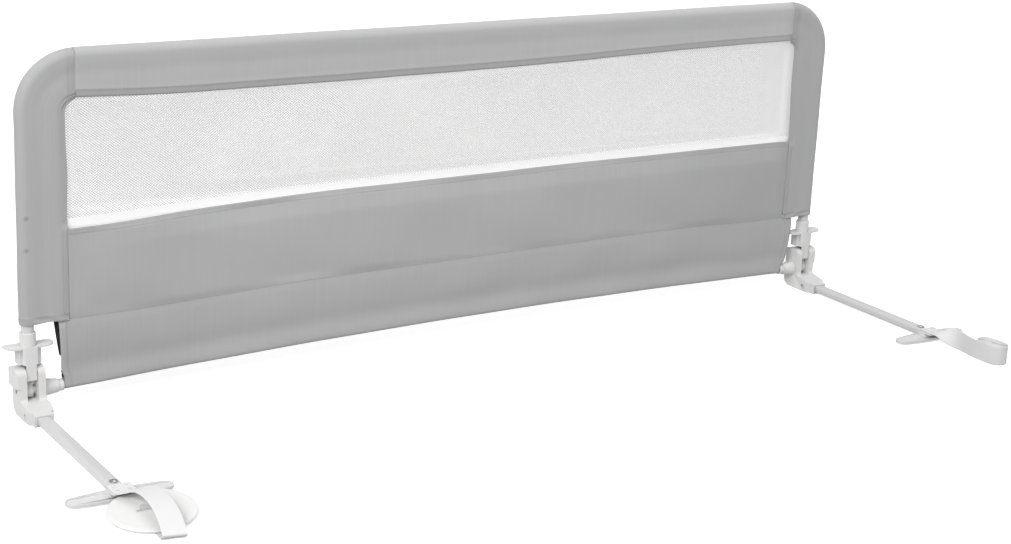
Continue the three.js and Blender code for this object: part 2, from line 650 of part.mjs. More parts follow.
function cornerGeometry() {
  const { bendRadius, joint, topJoint } = frameTube;
  const turnZ = topAxis - bendRadius;
  const stations = [{ x: 0, z: joint + slack / 2, angle: Math.PI / 2 }];
  for (let step = 0; step <= bendSteps; step += 1) {
    const angle = Math.PI / 2 - (Math.PI / 2) * (step / bendSteps);
    stations.push({ x: bendRadius * (1 - Math.sin(angle)), z: turnZ + bendRadius * Math.cos(angle), angle });
  }
  stations.push({ x: legX - topJoint - slack / 2, z: topAxis, angle: 0 });
  return cut(pipe(stations, tubeOuter, tubeInner), buttonHole(joint + button.offset));
}

// The top tube's ends are drawn down so that they push into the corner tubes
function topTubeGeometry() {
  const half = frameTube.topJoint - slack / 2;
  const end = half + frameTube.neckLength;
  const body = join(tubeRod(tubeOuter, -half, half), tubeRod(connectorOuter, -end, end));
  const bore = tubeRod(connectorInner, -end - overrun, end + overrun);
  return cut(body, bore).rotateY(Math.PI / 2).translate(0, 0, topAxis);
}

function tubeRod(radius, from, to) {
  return cylinderZ(radius, from, to, 0, 0, tubeSteps);
}

function legConnectorGeometry() {
  const [middle, half] = [frameTube.joint, connector.length / 2];
  return cut(
    straightTube(connectorOuter, connectorInner, middle - half, middle + half),
    buttonHole(middle - button.offset), buttonHole(middle + button.offset));
}

function buttonGeometry(z) {
  const face = -tubeOuter - button.proud;
  const inner = -button.inner;
  return join(
    cylinderY(button.radius, face, inner, 0, z),
    cylinderY(button.flangeRadius, inner - button.flangeLength, inner, 0, z));
}

// Crossbar: a thin tube that the cover's bottom hem pulls up in the middle
function crossbarGeometry() {
  const half = legX - bracket.width / 2 - pivotBolt.nutHeight - 3 * slack;
  const reach = legX - crossbar.straightEnd;
  const bowed = Array.from({ length: barSteps + 1 }, (_, k) => reach * ((2 * k) / barSteps - 1));
  const stations = [-half, ...bowed, half].map((x) => {
    const rise = (bowAt(x + overrun) - bowAt(x - overrun)) / (2 * overrun);
    return { x, z: pivotHeight + bowAt(x), angle: Math.atan(rise) };
  });
  return pipe(stations, crossbar.diameter / 2, crossbar.diameter / 2 - crossbar.wall, smallSteps, holeSteps);
}

function crossbarCapGeometry() {
  const from = bracket.width / 2 + barSocket.length + 2 * slack;
  const to = from + crossbar.capLength;
  return cut(
    cylinderX(crossbar.capRadius, from, to, 0, pivotHeight, tubeSteps),
    cylinderX(crossbar.diameter / 2 + slack, from - overrun, to + overrun, 0, pivotHeight));
}

// Cover: a bag with a front and a back layer, drawn over the frame
const outerY = cloth.halfDepth;
const innerY = cloth.halfDepth - cloth.thickness;

function topBandGeometry() {
  const low = window.top;
  const layer = (radius, y) => {
    const points = [[y, low]];
    for (let k = 0; k <= arcSteps; k += 1) {
      const angle = (Math.PI * k) / arcSteps;
      points.push([radius * Math.cos(angle), topAxis + radius * Math.sin(angle)]);
    }
    points.push([-y, low]);
    return points;
  };
  const ring = [
    ...layer(coverRadius, outerY), ...layer(coverRadius - cloth.thickness, innerY).reverse(),
  ];
  const half = legX - cover.topBandInset - cloth.seam;
  return alongX(polygon(ring), -half, half);
}

// Outline of the flat part of a side band, drawn in (x, z) from the leg's axis
function sideBandSlab(half, inset, extra) {
  const radius = frameTube.bendRadius - inset;
  const [right, high] = [frameTube.bendRadius + coverRadius + extra, topAxis - inset];
  const shape = new THREE.Shape();
  shape.moveTo(inset, cover.hem - extra);
  shape.lineTo(right, cover.hem - extra);
  shape.lineTo(right, high);
  shape.lineTo(inset + radius, high);
  shape.absarc(inset + radius, high - radius, radius, Math.PI / 2, Math.PI);
  return alongY(shape, -half, half, bendSteps);
}

// The stretch that a side band covers: narrow beside the window and wider above it
function sideBandRegion() {
  const [left, deep] = [-2 * coverRadius, 2 * coverRadius];
  return join(
    box(left, cover.bandWidth, -deep, deep, cover.hem, railHeight + overrun),
    box(left, cover.topBandInset, -deep, deep, window.top, railHeight + overrun));
}

function sideBandPipe(radius, extra) {
  const { bendRadius } = frameTube;
  const stations = [{ x: 0, z: cover.hem - extra, angle: Math.PI / 2 }];
  for (let step = 0; step <= bendSteps; step += 1) {
    const angle = Math.PI / 2 - (Math.PI / 2) * (step / bendSteps);
    stations.push({
      x: bendRadius * (1 - Math.sin(angle)), z: topAxis - bendRadius + bendRadius * Math.cos(angle), angle,
    });
  }
  stations.push({ x: bendRadius + coverRadius + extra, z: topAxis, angle: 0 });
  return pipe(stations, radius, 0, tubeSteps);
}

function sideBandGeometry() {
  const outside = common(
    join(sideBandSlab(outerY, 0, 0), sideBandPipe(coverRadius, 0)), sideBandRegion());
  const inside = join(
    sideBandSlab(innerY, cloth.thickness, overrun), sideBandPipe(coverRadius - cloth.thickness, overrun));
  return cut(outside, inside);
}

function panelStations() {
  const half = window.halfLength - cloth.seam;
  return Array.from({ length: barSteps + 1 }, (_, k) => half * ((2 * k) / barSteps - 1));
}

function lowerPanelGeometry(side) {
  const rows = panelStations();
  const face = (y) => rows.map((x) => [
    new THREE.Vector3(x, side * y, seamAt(x) + cloth.seam), new THREE.Vector3(x, side * y, window.bottom),
  ]);
  return sheetSolid(face(outerY), face(innerY));
}

function meshGeometry(side) {
  const { halfLength, bottom, top } = window;
  const [inner, outer] = [outerY - window.cloth - cloth.seam / 2, outerY - cloth.seam / 2];
  const [from, to] = side < 0 ? [-outer, -inner] : [inner, outer];
  const edge = cloth.seam;
  return box(-halfLength + edge, halfLength - edge, from, to, bottom + edge, top - edge);
}

function windowTapeGeometry() {
  const { halfLength, bottom, top, tapeWidth } = window;
  const [length, height] = [2 * (halfLength - cloth.seam), top - bottom - 2 * cloth.seam];
  const middle = (top + bottom) / 2;
  const opening = [length - 2 * tapeWidth, height - 2 * tapeWidth];
  const outline = roundedRectangle(length, height, tapeWidth / 4, 0, middle);
  outline.holes.push(roundedRectangle(...opening, tapeWidth / 2, 0, middle));
  const back = outerY - window.cloth - cloth.seam / 2 - slack;
  return alongY(outline, back - window.cloth, back, cornerSteps);
}

// The flap's layers hang from the seam and turn under the crossbar
function flapSection(x, inset) {
  const radius = crossbar.diameter / 2 + slack + cloth.thickness - inset;
  const centre = pivotHeight + bowAt(x);
  const waist = blend(radius, outerY - inset, cover.waistShare);
  const points = [];
  for (const side of [-1, 1]) {
    const layer = [];
    layer.push(new THREE.Vector3(x, side * (outerY - inset), seamAt(x) - 2 * cloth.seam));
    layer.push(new THREE.Vector3(x, side * waist, (centre + seamAt(x)) / 2));
    for (let k = 0; k <= hemSteps / 2; k += 1) {
      const angle = (Math.PI * k) / hemSteps;
      layer.push(new THREE.Vector3(x, side * radius * Math.cos(angle), centre - radius * Math.sin(angle)));
    }
    if (side < 0) points.push(...layer);
    else points.push(...layer.slice(0, -1).reverse());
  }
  return points;
}

function flapGeometry() {
  const rows = [flapEdge - legX, ...panelStations(), legX - flapEdge];
  return sheetSolid(rows.map((x) => flapSection(x, 0)), rows.map((x) => flapSection(x, cloth.thickness)));
}

// Dark closing tape inside the flap's back layer, at its open end
function closureTapeGeometry() {
  const xs = [flapEdge - closureTape.shown, flapEdge + closureTape.hidden];
  const layer = (inset) => xs.map((x) => {
    const [bottom, top] = [closureTape.bottom, cover.hem - 2 * cloth.seam];
    const half = (z) => blend(
      crossbar.diameter / 2 + slack, outerY - cloth.thickness,
      (z - pivotHeight) / (cover.hem - pivotHeight)) - inset;
    const middle = (pivotHeight + cover.hem) / 2;
    return [bottom, middle, top].map((z) => new THREE.Vector3(x, half(z), z));
  });
  return sheetSolid(layer(2 * slack), layer(2 * slack + closureTape.thickness));
}

// Disc that the left strap pulls against: flat, slotted and lying slightly tipped
function discGeometry() {
  const { radius, thickness, rimInset, slotWidth } = disc;
  const rim = radius - rimInset;
  const flat = turned([
    [0, 0], [rim, 0], [radius, rimInset], [radius, thickness - rimInset], [rim, thickness], [0, thickness],
  ], discSteps);
  const slot = roundedRectangle(disc.slotLength, slotWidth, slotWidth / 2 - slack, 0, disc.slotOffset);
  const slotted = cut(flat, alongZ(slot, -overrun, thickness + overrun, cornerSteps));
  const middle = disc.lowest + radius * Math.hypot(disc.riseX, disc.riseY);
  const lean = new THREE.Matrix4().set(
    1, 0, 0, disc.offset - legX, 0, 1, 0, -disc.centre,
    disc.riseX, disc.riseY, 1, middle, 0, 0, 0, 1);
  return slotted.applyMatrix4(lean);
}

// Webbing: a flat band along stations, each with its middle, its width direction and its upper side
function webbing(stations) {
  const [half, lift] = [strap.width / 2, strap.thickness / 2];
  const corners = [[-half, -lift], [half, -lift], [half, lift], [-half, lift]];
  const points = stations.flatMap(({ centre, side, up }) => corners.map(([across, height]) => (
    centre.clone().addScaledVector(side, across).addScaledVector(up, height))));
  const triangles = [];
  const quad = (a, b, c, d) => triangles.push([a, b, c], [a, c, d]);
  for (let s = 0; s + 1 < stations.length; s += 1) {
    const near = corners.length * s;
    const far = near + corners.length;
    corners.forEach((_, k) => {
      const next = (k + 1) % corners.length;
      quad(near + k, near + next, far + next, far + k);
    });
  }
  const [a, b, c, d] = corners.map((_, k) => k);
  const end = corners.length * (stations.length - 1);
  quad(a, d, c, b);
  quad(end + a, end + b, end + c, end + d);
  return solidFrom(points, triangles);
}

// A smooth path through the middles; bank and turn are shares of a right angle
function bandStations(rows, steps) {
  const path = new THREE.CatmullRomCurve3(rows.map(({ middle }) => middle));
  const angleAt = (key, share) => {
    const row = Math.min(Math.floor(share * (rows.length - 1)), rows.length - 2);
    return blend(rows[row][key], rows[row + 1][key], share * (rows.length - 1) - row) * Math.PI / 2;
  };
  return Array.from({ length: steps + 1 }, (_, k) => {
    const along = path.getTangent(k / steps);
    const [bank, turn] = [angleAt('bank', k / steps), angleAt('turn', k / steps)];
    const level = new THREE.Vector3(Math.cos(turn), Math.sin(turn), 0);
    const above = new THREE.Vector3().crossVectors(along, level).normalize();
    const side = level.multiplyScalar(Math.cos(bank)).addScaledVector(above, Math.sin(bank));
    return {
      centre: path.getPoint(k / steps), side, up: new THREE.Vector3().crossVectors(along, side).normalize(),
    };
  });
}

function rivetHoles(x) {
  const [low, high] = [foot.hubTop - overrun, foot.hubTop + foot.tongueThickness + strap.thickness];
  return rivetPlaces().map(([dx, y]) => (
    cylinderZ(rivet.radius + slack / 2, low, high, x + dx, y, holeSteps)));
}

function flatRows(x) {
  return [strap.start, flatReach / 2, flatReach].map((y) => (
    { middle: new THREE.Vector3(x, -y, strapHeight), bank: 0, turn: 0 }));
}

// Rises from the left foot, loops back under the disc and comes up through its slot
function leftStrapGeometry() {
  const under = loop.floorGap + strap.thickness / 2;
  const row = (x, y, z, turn) => ({ middle: new THREE.Vector3(x - legX, -y, z), bank: 0, turn });
  const over = overShares.map(([x, y, z, turn]) => (
    row(x * disc.offset, blend(flatReach, loop.reach, y), strapHeight + z * loop.arch, turn)));
  const back = lipShares.map(([x, y, z, turn]) => (
    row(x * disc.offset, y * loop.reach, blend(under, loop.lip, z), turn)));
  const slotY = disc.centre - disc.slotOffset;
  const rise = slotShares.map(([z, y, turn]) => (
    row(disc.offset, slotY + y * slotRise.run, under + z * slotRise.height, turn)));
  const rows = [...flatRows(-legX), ...over, ...back, ...rise];
  return cut(webbing(bandStations(rows, strapSteps)), ...rivetHoles(-legX));
}

function rollStations() {
  const count = roll.turns * coilSteps;
  const place = (k) => {
    const angle = Math.PI + (2 * Math.PI * k) / coilSteps;
    const radius = roll.outerRadius - (roll.pitch * k) / coilSteps;
    const stretch = THREE.MathUtils.clamp(rollSquareness * Math.sin(angle), -1, 1) * roll.straight / 2;
    const x = legX + roll.offset + radius * Math.cos(angle);
    return new THREE.Vector3(x, radius * Math.sin(angle) + stretch - roll.centre, strapHeight);
  };
  const standing = new THREE.Vector3(0, 0, 1);
  return Array.from({ length: count + 1 }, (_, k) => {
    const along = place(k + 1).sub(place(k - 1)).normalize();
    return { centre: place(k), side: standing, up: new THREE.Vector3().crossVectors(along, standing) };
  });
}

// Rises from the right foot and turns onto its edge, into the roll
function rightStrapGeometry() {
  const rows = leadShares.map(([x, y, z, bank, turn]) => {
    const reach = blend(flatReach, lead.run, y);
    const middle = new THREE.Vector3(legX + x * lead.swing, -reach, strapHeight + z * lead.lift);
    return { middle, bank, turn };
  });
  const [, , ...turns] = rollStations();
  const led = bandStations([...flatRows(legX), ...rows], strapSteps / 2);
  return cut(webbing([...led, ...turns]), ...rivetHoles(legX));
}

function rivetGeometry([x, y]) {
  const under = foot.hubTop - foot.tongueThickness;
  const seat = foot.hubTop + 2 * slack + strap.thickness;
  return turned([
    [0, under], [rivet.radius, under], [rivet.radius, seat], [rivet.headRadius, seat],
    [rivet.headRadius, seat + rivet.proud * rivet.domeShare], [rivet.headRadius / 2, seat + rivet.proud],
    [0, seat + rivet.proud],
  ], holeSteps).translate(x, y, 0);
}

// Assembly
const group = new THREE.Group();
group.name = 'folding_bed_guard_rail';

function place(name, geometry, look) {
  const ready = bare(geometry.clone());
  ready.computeVertexNormals();
  const mesh = new THREE.Mesh(ready, new THREE.MeshStandardMaterial({ ...look }));
  mesh.name = name;
  group.add(mesh);
}

// Pieces drawn about the left leg's axis, and their mirror images on the right
function placePair(name, geometry, look) {
  place(`left_${name}`, geometry.clone().translate(-legX, 0, 0), look);
  place(`right_${name}`, mirrored(geometry).translate(legX, 0, 0), look);
}

placePair('hinge_bracket', bracketGeometry(), white);
placePair('pivot_bolt', pivotBoltGeometry(), zinc);
placePair('pivot_nut', pivotNutGeometry(), zinc);
placePair('crossbar_socket', barSocketGeometry(), white);
placePair('arm_tube', armTubeGeometry(), steel);
placePair('arm_screw', armScrewGeometry(), zinc);
const atArmEnd = (geometry) => geometry.translate(0, -arm.reach, 0);
placePair('foot', atArmEnd(footGeometry()), white);
placePair('foot_screw', atArmEnd(footScrewGeometry()), zinc);
rivetPlaces().forEach((spot, index) => {
  placePair(`strap_rivet_${index + 1}`, atArmEnd(rivetGeometry(spot)), white);
});
place('left_strap', atArmEnd(leftStrapGeometry()), white);
place('right_strap', atArmEnd(rightStrapGeometry()), white);
place('anchor_disc', atArmEnd(discGeometry()), white);

placePair('hinge_post', postGeometry(), white);
placePair('pivot_spacer', spacerGeometry(), white);
placePair('lock_collar', collarGeometry(), white);
placePair('lock_spring', lockSpringGeometry(), zinc);
placePair('leg_tube', legGeometry(), steel);
placePair('corner_tube', cornerGeometry(), steel);
placePair('leg_connector', legConnectorGeometry(), zinc);
placePair('lower_button', buttonGeometry(frameTube.joint - button.offset), zinc);
placePair('upper_button', buttonGeometry(frameTube.joint + button.offset), zinc);
place('top_tube', topTubeGeometry(), steel);
place('crossbar', crossbarGeometry(), steel);
placePair('crossbar_cap', crossbarCapGeometry(), white);

place('top_band', topBandGeometry(), bandCloth);
placePair('side_band', sideBandGeometry(), greyCloth);
place('front_panel', lowerPanelGeometry(-1), greyCloth);
place('back_panel', lowerPanelGeometry(1), greyCloth);
place('front_mesh', meshGeometry(-1), net);
place('back_mesh', meshGeometry(1), net);
place('window_tape', windowTapeGeometry(), net);
place('lower_flap', flapGeometry(), greyCloth);
place('closure_tape', closureTapeGeometry().translate(-legX, 0, 0), darkTape);

const bounds = new THREE.Box3().setFromObject(group);
group.position.set(
  -(bounds.min.x + bounds.max.x) / 2, -(bounds.min.y + bounds.max.y) / 2, -bounds.min.z);
group.updateMatrixWorld(true);

export default group;
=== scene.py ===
"""Folding bed guard rail: the cloth cover, nets, webbing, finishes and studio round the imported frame."""

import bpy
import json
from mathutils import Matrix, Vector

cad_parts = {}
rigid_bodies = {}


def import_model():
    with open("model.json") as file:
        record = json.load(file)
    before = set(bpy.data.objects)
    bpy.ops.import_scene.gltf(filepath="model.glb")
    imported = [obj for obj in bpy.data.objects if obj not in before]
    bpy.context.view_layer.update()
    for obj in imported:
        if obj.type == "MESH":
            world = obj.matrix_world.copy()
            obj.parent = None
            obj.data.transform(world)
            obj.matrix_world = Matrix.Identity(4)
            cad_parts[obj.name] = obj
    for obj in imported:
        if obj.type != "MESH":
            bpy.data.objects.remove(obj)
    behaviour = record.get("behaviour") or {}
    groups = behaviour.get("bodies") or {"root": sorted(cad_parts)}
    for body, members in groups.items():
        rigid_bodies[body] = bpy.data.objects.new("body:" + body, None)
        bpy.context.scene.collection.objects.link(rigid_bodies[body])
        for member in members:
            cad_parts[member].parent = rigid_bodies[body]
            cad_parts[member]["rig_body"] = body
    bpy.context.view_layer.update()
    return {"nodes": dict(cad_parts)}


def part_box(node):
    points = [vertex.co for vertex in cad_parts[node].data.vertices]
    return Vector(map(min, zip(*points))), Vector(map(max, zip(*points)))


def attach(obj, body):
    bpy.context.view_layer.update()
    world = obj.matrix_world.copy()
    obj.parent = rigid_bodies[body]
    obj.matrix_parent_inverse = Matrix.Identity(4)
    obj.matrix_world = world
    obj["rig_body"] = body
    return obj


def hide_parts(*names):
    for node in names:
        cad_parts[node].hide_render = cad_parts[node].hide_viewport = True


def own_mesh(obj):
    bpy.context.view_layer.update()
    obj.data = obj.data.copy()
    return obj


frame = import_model()

import json
from math import pi, radians

import bmesh
import bpy
import numpy as np
from bpy.props import FloatProperty, FloatVectorProperty, PointerProperty
from mathutils import Matrix, Vector

bl_info = {
    "name": "Folding bed guard rail",
    "version": (1, 0, 0),
    "blender": (4, 5, 0),
    "location": "View3D > Sidebar > Guard rail",
    "description": "Cover, nets, straps and finishes of a folding bed guard rail",
    "category": "Object",
}

# The shapes are worked out in millimetres about the hinge axis, with the rail's middle at x = 0
MM = 0.001
AXIS_Y = (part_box("left_pivot_spacer")[0].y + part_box("left_pivot_spacer")[1].y) / 2
LEG_X = 740.0
PIVOT_Z = 35.5
TOP_AXIS = 521.5
BEND = 80.0
BEND_Z = TOP_AXIS - BEND
COVER_RADIUS = 12.0
HALF_DEPTH = 10.5
# Half a turn of cloth round a tube
HALF_TURN = 38
HEM_Z = 137.0
BAND_WIDTH = 60.0
BAND_TOP_WIDTH = 76.0
WINDOW_HALF = LEG_X - BAND_WIDTH
# The nets and the tapes reach this far behind the side bands
SEWN_IN = 7
TOP_BAND_HALF = LEG_X - BAND_TOP_WIDTH - 0.05
TOP_BAND_DROP = 62
PANEL_HALF = WINDOW_HALF - 0.05
PANEL_HEIGHT = 139
FLAP_HALF = 688.0
FLAP_HEIGHT = 105
CROSSBAR_BOW = 13.2
CROSSBAR_HALF = 694.0
FLAP_RADIUS = 7.2
# Distances of the stitched lines from the edges of their pieces
BAND_HEM_LINE, BAND_EDGE_LINE, TOP_BAND_LINE, PANEL_LINE, FLAP_LINE = 11.0, 7, 9.4, 8.6, 9.7
# The innermost line of a side band, round the bend, keeps this far from the bend's centre
LEAST_EDGE = 4
# The marks that the snap buttons press into the left side band
BUTTON_MARKS = (247.0, 294.0)
ARM_END = -332.0
STRAP_WIDTH, STRAP_THICKNESS = 32.0, 1.2
STRAP_Z = 16.3

# Heights of the window's two edges and of the crease over the flap, as pairs of x and z
WINDOW_TOP = np.array([
    (-679, 464), (-640, 463), (-600, 460), (-550, 458.8), (-500, 457.4), (-440, 457.3), (-307, 457),
    (-220, 456.8), (-100, 457.2), (50, 457.4), (146, 458.4), (251, 461), (351, 463), (458, 465),
    (550, 465.5), (679, 466.3)], float)
WINDOW_LOW = np.array([
    (-679, 273.5), (-650, 273.2), (-616, 273.8), (-585, 274.9), (-554, 276.6), (-506, 279.6), (-442, 281.4),
    (-376, 283.3), (-309, 285), (-222, 285.6), (-132, 285), (-39, 285), (56, 284.6), (155, 285.4),
    (258, 285), (364, 283.7), (474, 283.2), (565, 282.4), (679, 281.4)], float)
CREASE = np.array([
    (-688, 138.4), (-600, 137.4), (-507, 139.4), (-442, 141.5), (-375, 143.7), (-306, 145.7), (0, 146),
    (376, 146), (488, 144), (580, 139.4), (688, 138)], float)
CORNER_RADIUS = 20.0
# The panel behind has a level edge that sags at its two ends, where the tables end too
BACK_LEVEL, BACK_SAG, WINDOW_END = 285.5, 4, 679


# Numbers and grids

def grid(along, across):
    """Every pair of an along and an across value, as two arrays."""
    return np.meshgrid(along, across, indexing="ij")


def smooth(value, low, high):
    """Rises from 0 at low to 1 at high, with level ends: 3 s squared less 2 s cubed."""
    share = np.clip((value - low) / (high - low), 0, 1)
    return share * share * (3 - 2 * share)


def bump(value, centre, width):
    """A bell of height 1 at the centre: e to the minus square of the distance in widths."""
    return np.exp(-((value - centre) / width) ** 2)


def unit(vectors):
    return vectors / np.linalg.norm(vectors, axis=-1, keepdims=True)


def run_length(points):
    """Distance along a line of points, from 0 at the first."""
    return np.concatenate([[0], np.cumsum(np.linalg.norm(np.diff(points, axis=0), axis=1))])


def stations(low, high, step, marks=(), fine=0.6, reach=4.0):
    """Places from low to high, a step apart and closer near the marks: the density of places is added up
    along the line, and the places are where the sum passes whole numbers."""
    line = np.linspace(low, high, 6001)
    density = np.full_like(line, 1 / step)
    for mark in marks:
        density += bump(line, mark, reach) / fine
    total = np.concatenate([[0], np.cumsum((density[1:] + density[:-1]) / 2 * np.diff(line))])
    count = int(np.ceil(total[-1]))
    return np.interp(np.linspace(0, total[-1], count + 1), total, line)


def ripple(x, z, seed, height):
    """Broad waves: a mean of sines of x and z, whose lengths, slants and phases are drawn from the seed."""
    draw = np.random.default_rng(seed)
    across = draw.uniform(140, 520, 8)
    upward = draw.uniform(120, 420, 8) * draw.choice([-1, 1], 8)
    phase = draw.uniform(0, 2 * pi, 8)
    share = draw.uniform(0.5, 1, 8)
    waves = np.sin(2 * pi * (x[..., None] / across + z[..., None] / upward) + phase)
    return height * (waves @ share) / 2.6


def streaks(x, z, seed, height):
    """Fine upright waves: a mean of short sines of x that lean and fade slowly with z."""
    draw = np.random.default_rng(seed)
    across = draw.uniform(11, 47, 9)
    phase = draw.uniform(0, 2 * pi, 9)
    fade = draw.uniform(90, 260, 9)
    waves = np.sin(2 * pi * x[..., None] / across + phase + 0.5 * np.sin(z[..., None] / fade))
    return height * (waves * np.cos(z[..., None] / fade + phase)).mean(-1) * 2


def crossbar_rise(x):
    """Height of the bowed crossbar over the hinge axis: a parabola that is nothing at its ends."""
    return CROSSBAR_BOW * (1 - np.minimum(np.abs(x) / CROSSBAR_HALF, 1) ** 2)


def rounded_line(table, x, reach):
    """Straight lines between the table's places, rounded off by a mean over the reach on both sides."""
    near = [np.interp(x + shift, table[:, 0], table[:, 1]) for shift in np.linspace(-reach, reach, 5)]
    return np.mean(near, axis=0)


def crease_height(x):
    """Height of the crease between the panels and the flap."""
    return rounded_line(CREASE, x, 40)


def window_top(x):
    """Height of the window's upper edge."""
    return rounded_line(WINDOW_TOP, x, 40)


def window_bottom(x, side):
    """Height of the lower panel's top edge: as measured in front, and level with sagging ends behind."""
    if side < 0:
        return rounded_line(WINDOW_LOW, x, 25)
    return BACK_LEVEL - BACK_SAG * (bump(x, -WINDOW_END, 150) + bump(x, WINDOW_END, 150))


def band_width(z, hand):
    """Width of a side band from the leg's axis: the right one is drawn in beside the window's upper half,
    the left one bows a little."""
    if hand > 0:
        return BAND_WIDTH + 5.5 * smooth(z, 295, 400)
    return BAND_WIDTH + 2.0 * bump(z, 352, 36)


def corner_radius(turn, hand):
    """Radius of the window's rounded corner about the bend's centre, easing from the band's width."""
    start = BEND - band_width(np.array(BEND_Z), hand)
    return start + (CORNER_RADIUS - start) * smooth(turn, 0, radians(75))


def round_tube(across):
    """Reads the parameter across a sheet that goes round a tube: it runs 0 to 1 up to the tube's axis in
    front, 1 to 2 round the tube and 2 to 3 away from it behind. Gives the share of the way away from the
    axis, the angle round the tube, where the sheet is on the tube, and -1 in front or 1 behind."""
    away = np.maximum(np.clip(1 - across, 0, 1), np.clip(across - 2, 0, 1))
    angle = (np.clip(across, 1, 2) - 1.5) * pi
    return away, angle, (across > 1) & (across < 2), np.where(across < 1.5, -1.0, 1.0)


def tube_columns(flat, count):
    """Values of that parameter: the flat part's in front and behind, and even ones round the tube."""
    return np.concatenate([flat, 1 + np.linspace(0, 1, count)[1:-1], 3 - flat[::-1]])


def unrolled(across, depth):
    """Place across such a sheet when it is laid out, from where it meets the tube in front."""
    behind = np.where(across > 2, (across - 2) * depth + HALF_TURN, (across - 1) * HALF_TURN)
    return np.where(across < 1, (across - 1) * depth, behind)


# Meshes

# Faces that meet at less than this are shaded as one curve, and at less than the next are one face
SHARP_ANGLE, FLAT_ANGLE = radians(35), radians(0.4)


def settle(points):
    """From millimetres about the hinge axis to metres in the frame."""
    return points * MM + np.array([0, AXIS_Y, 0])


def grid_mesh(name, points, uv=None, closed=(False, False), caps=False):
    """A mesh of four-sided faces over a grid of points, rows by columns. A closed direction joins its last
    line to its first. Caps close the two ends of a grid that is closed across. uv has one more row or
    column in a closed direction, so that the pattern isn't drawn back over its last face."""
    rows, columns = points.shape[:2]
    row, column = grid(np.arange(rows - (not closed[0])), np.arange(columns - (not closed[1])))
    corner_rows = np.stack([row, row, row + 1, row + 1], -1).reshape(-1, 4)
    corner_columns = np.stack([column, column + 1, column + 1, column], -1).reshape(-1, 4)
    corners = ((corner_rows % rows) * columns + corner_columns % columns).ravel()
    starts = np.arange(0, len(corners), 4)
    places = None if uv is None else uv[corner_rows, corner_columns].reshape(-1, 2)
    if caps:
        first, last = np.arange(columns)[::-1], (rows - 1) * columns + np.arange(columns)
        starts = np.concatenate([starts, [len(corners), len(corners) + columns]])
        corners = np.concatenate([corners, first, last])
        places = np.concatenate([places, uv[0, :columns], uv[rows - 1, :columns]])
    return raw_mesh(name, points.reshape(-1, 3), corners, starts, places)


def raw_mesh(name, points, corners, starts, places=None):
    """A smooth mesh from points, the faces' corners in one row, and where each face starts in that row."""
    mesh = bpy.data.meshes.new(name)
    mesh.vertices.add(len(points))
    mesh.vertices.foreach_set("co", settle(points).astype(np.float32).ravel())
    mesh.loops.add(len(corners))
    mesh.loops.foreach_set("vertex_index", corners.astype(np.int32))
    mesh.polygons.add(len(starts))
    mesh.polygons.foreach_set("loop_start", starts.astype(np.int32))
    mesh.update(calc_edges=True)
    if places is not None:
        layer = mesh.uv_layers.new(name="Cloth")
        layer.data.foreach_set("uv", (places * MM).astype(np.float32).ravel())
    mesh.validate()
    mesh.shade_smooth()
    return mesh


def outward(mesh):
    """A closed mesh with its doubled points merged and its faces turned outwards."""
    work = bmesh.new()
    work.from_mesh(mesh)
    bmesh.ops.remove_doubles(work, verts=work.verts, dist=1e-7)
    bmesh.ops.recalc_face_normals(work, faces=work.faces)
    work.to_mesh(mesh)
    work.free()
    mesh.shade_smooth()
    return mesh


def piece(name, mesh, material, body, nodes):
    """Links a finished mesh, gives it its material, lets it ride on its body and hides the nodes that it
    stands for.
    """
    obj = bpy.data.objects.new(name, mesh)
    bpy.context.scene.collection.objects.link(obj)
    mesh.materials.clear()
    mesh.materials.append(material)
    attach(obj, body)
    if nodes:
        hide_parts(*nodes)
    return obj


def facing_out(mesh):
    """True where most faces look away from the rail's middle plane."""
    mesh.update()
    normals = np.empty(len(mesh.polygons) * 3, np.float32)
    centres = np.empty(len(mesh.polygons) * 3, np.float32)
    mesh.polygons.foreach_get("normal", normals)
    mesh.polygons.foreach_get("center", centres)
    depth = centres.reshape(-1, 3)[:, 1] - AXIS_Y
    return float((normals.reshape(-1, 3)[:, 1] * depth).sum()) >= 0


def sheet_piece(name, points, material, nodes, slot, uv=None, dark=None, wall=None, closed=(False, False),
                **laid):
    """A soft sheet on the rail over a grid of points. dark is painted shade: how far it darkens the cloth at
    each point. wall is its thickness, inwards from the face that shows."""
    if uv is None:
        uv = points[..., [0, 2]]
    mesh = grid_mesh(name, points, uv, closed)
    if dark is not None:
        layer = mesh.attributes.new("PaintedShade", "FLOAT", "POINT")
        layer.data.foreach_set("value", dark.astype(np.float32).ravel())
    if not facing_out(mesh):
        mesh.flip_normals()
    obj = piece(name, mesh, material, "rail", nodes)
    if wall:
        solid = obj.modifiers.new("Thickness", "SOLIDIFY")
        solid.thickness = wall
        solid.offset = -1
        solid.use_even_offset = False


def cloth_sheet(node, form, along, across, material, slot, uv=None, **laid):
    """A sheet of the cover from its form, a function of two parameters, for the node of the same name."""
    values = form(*grid(along, across))
    # The form's fourth value is painted shade that darkens the cloth
    sheet_piece(f"{node}_cloth", values[..., :3], material, [node], slot, uv=uv, dark=values[..., 3],
                wall=sizes().cloth_thickness, **laid)


def merged_copy(node, ending, material):
    """A copy of a rigid node's mesh with its loose corners merged and its curved faces shaded smooth."""
    source = frame["nodes"][node]
    name = f"{node}_{ending}"
    mesh = source.data.copy()
    mesh.name = name
    work = bmesh.new()
    work.from_mesh(mesh)
    bmesh.ops.remove_doubles(work, verts=work.verts, dist=2e-6)
    bmesh.ops.dissolve_limit(work, angle_limit=FLAT_ANGLE, verts=work.verts, edges=work.edges)
    work.to_mesh(mesh)
    work.free()
    mesh.shade_smooth()
    mesh.set_sharp_from_angle(angle=SHARP_ANGLE)
    return piece(name, mesh, material, source["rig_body"], [node])


# Forms of the cover

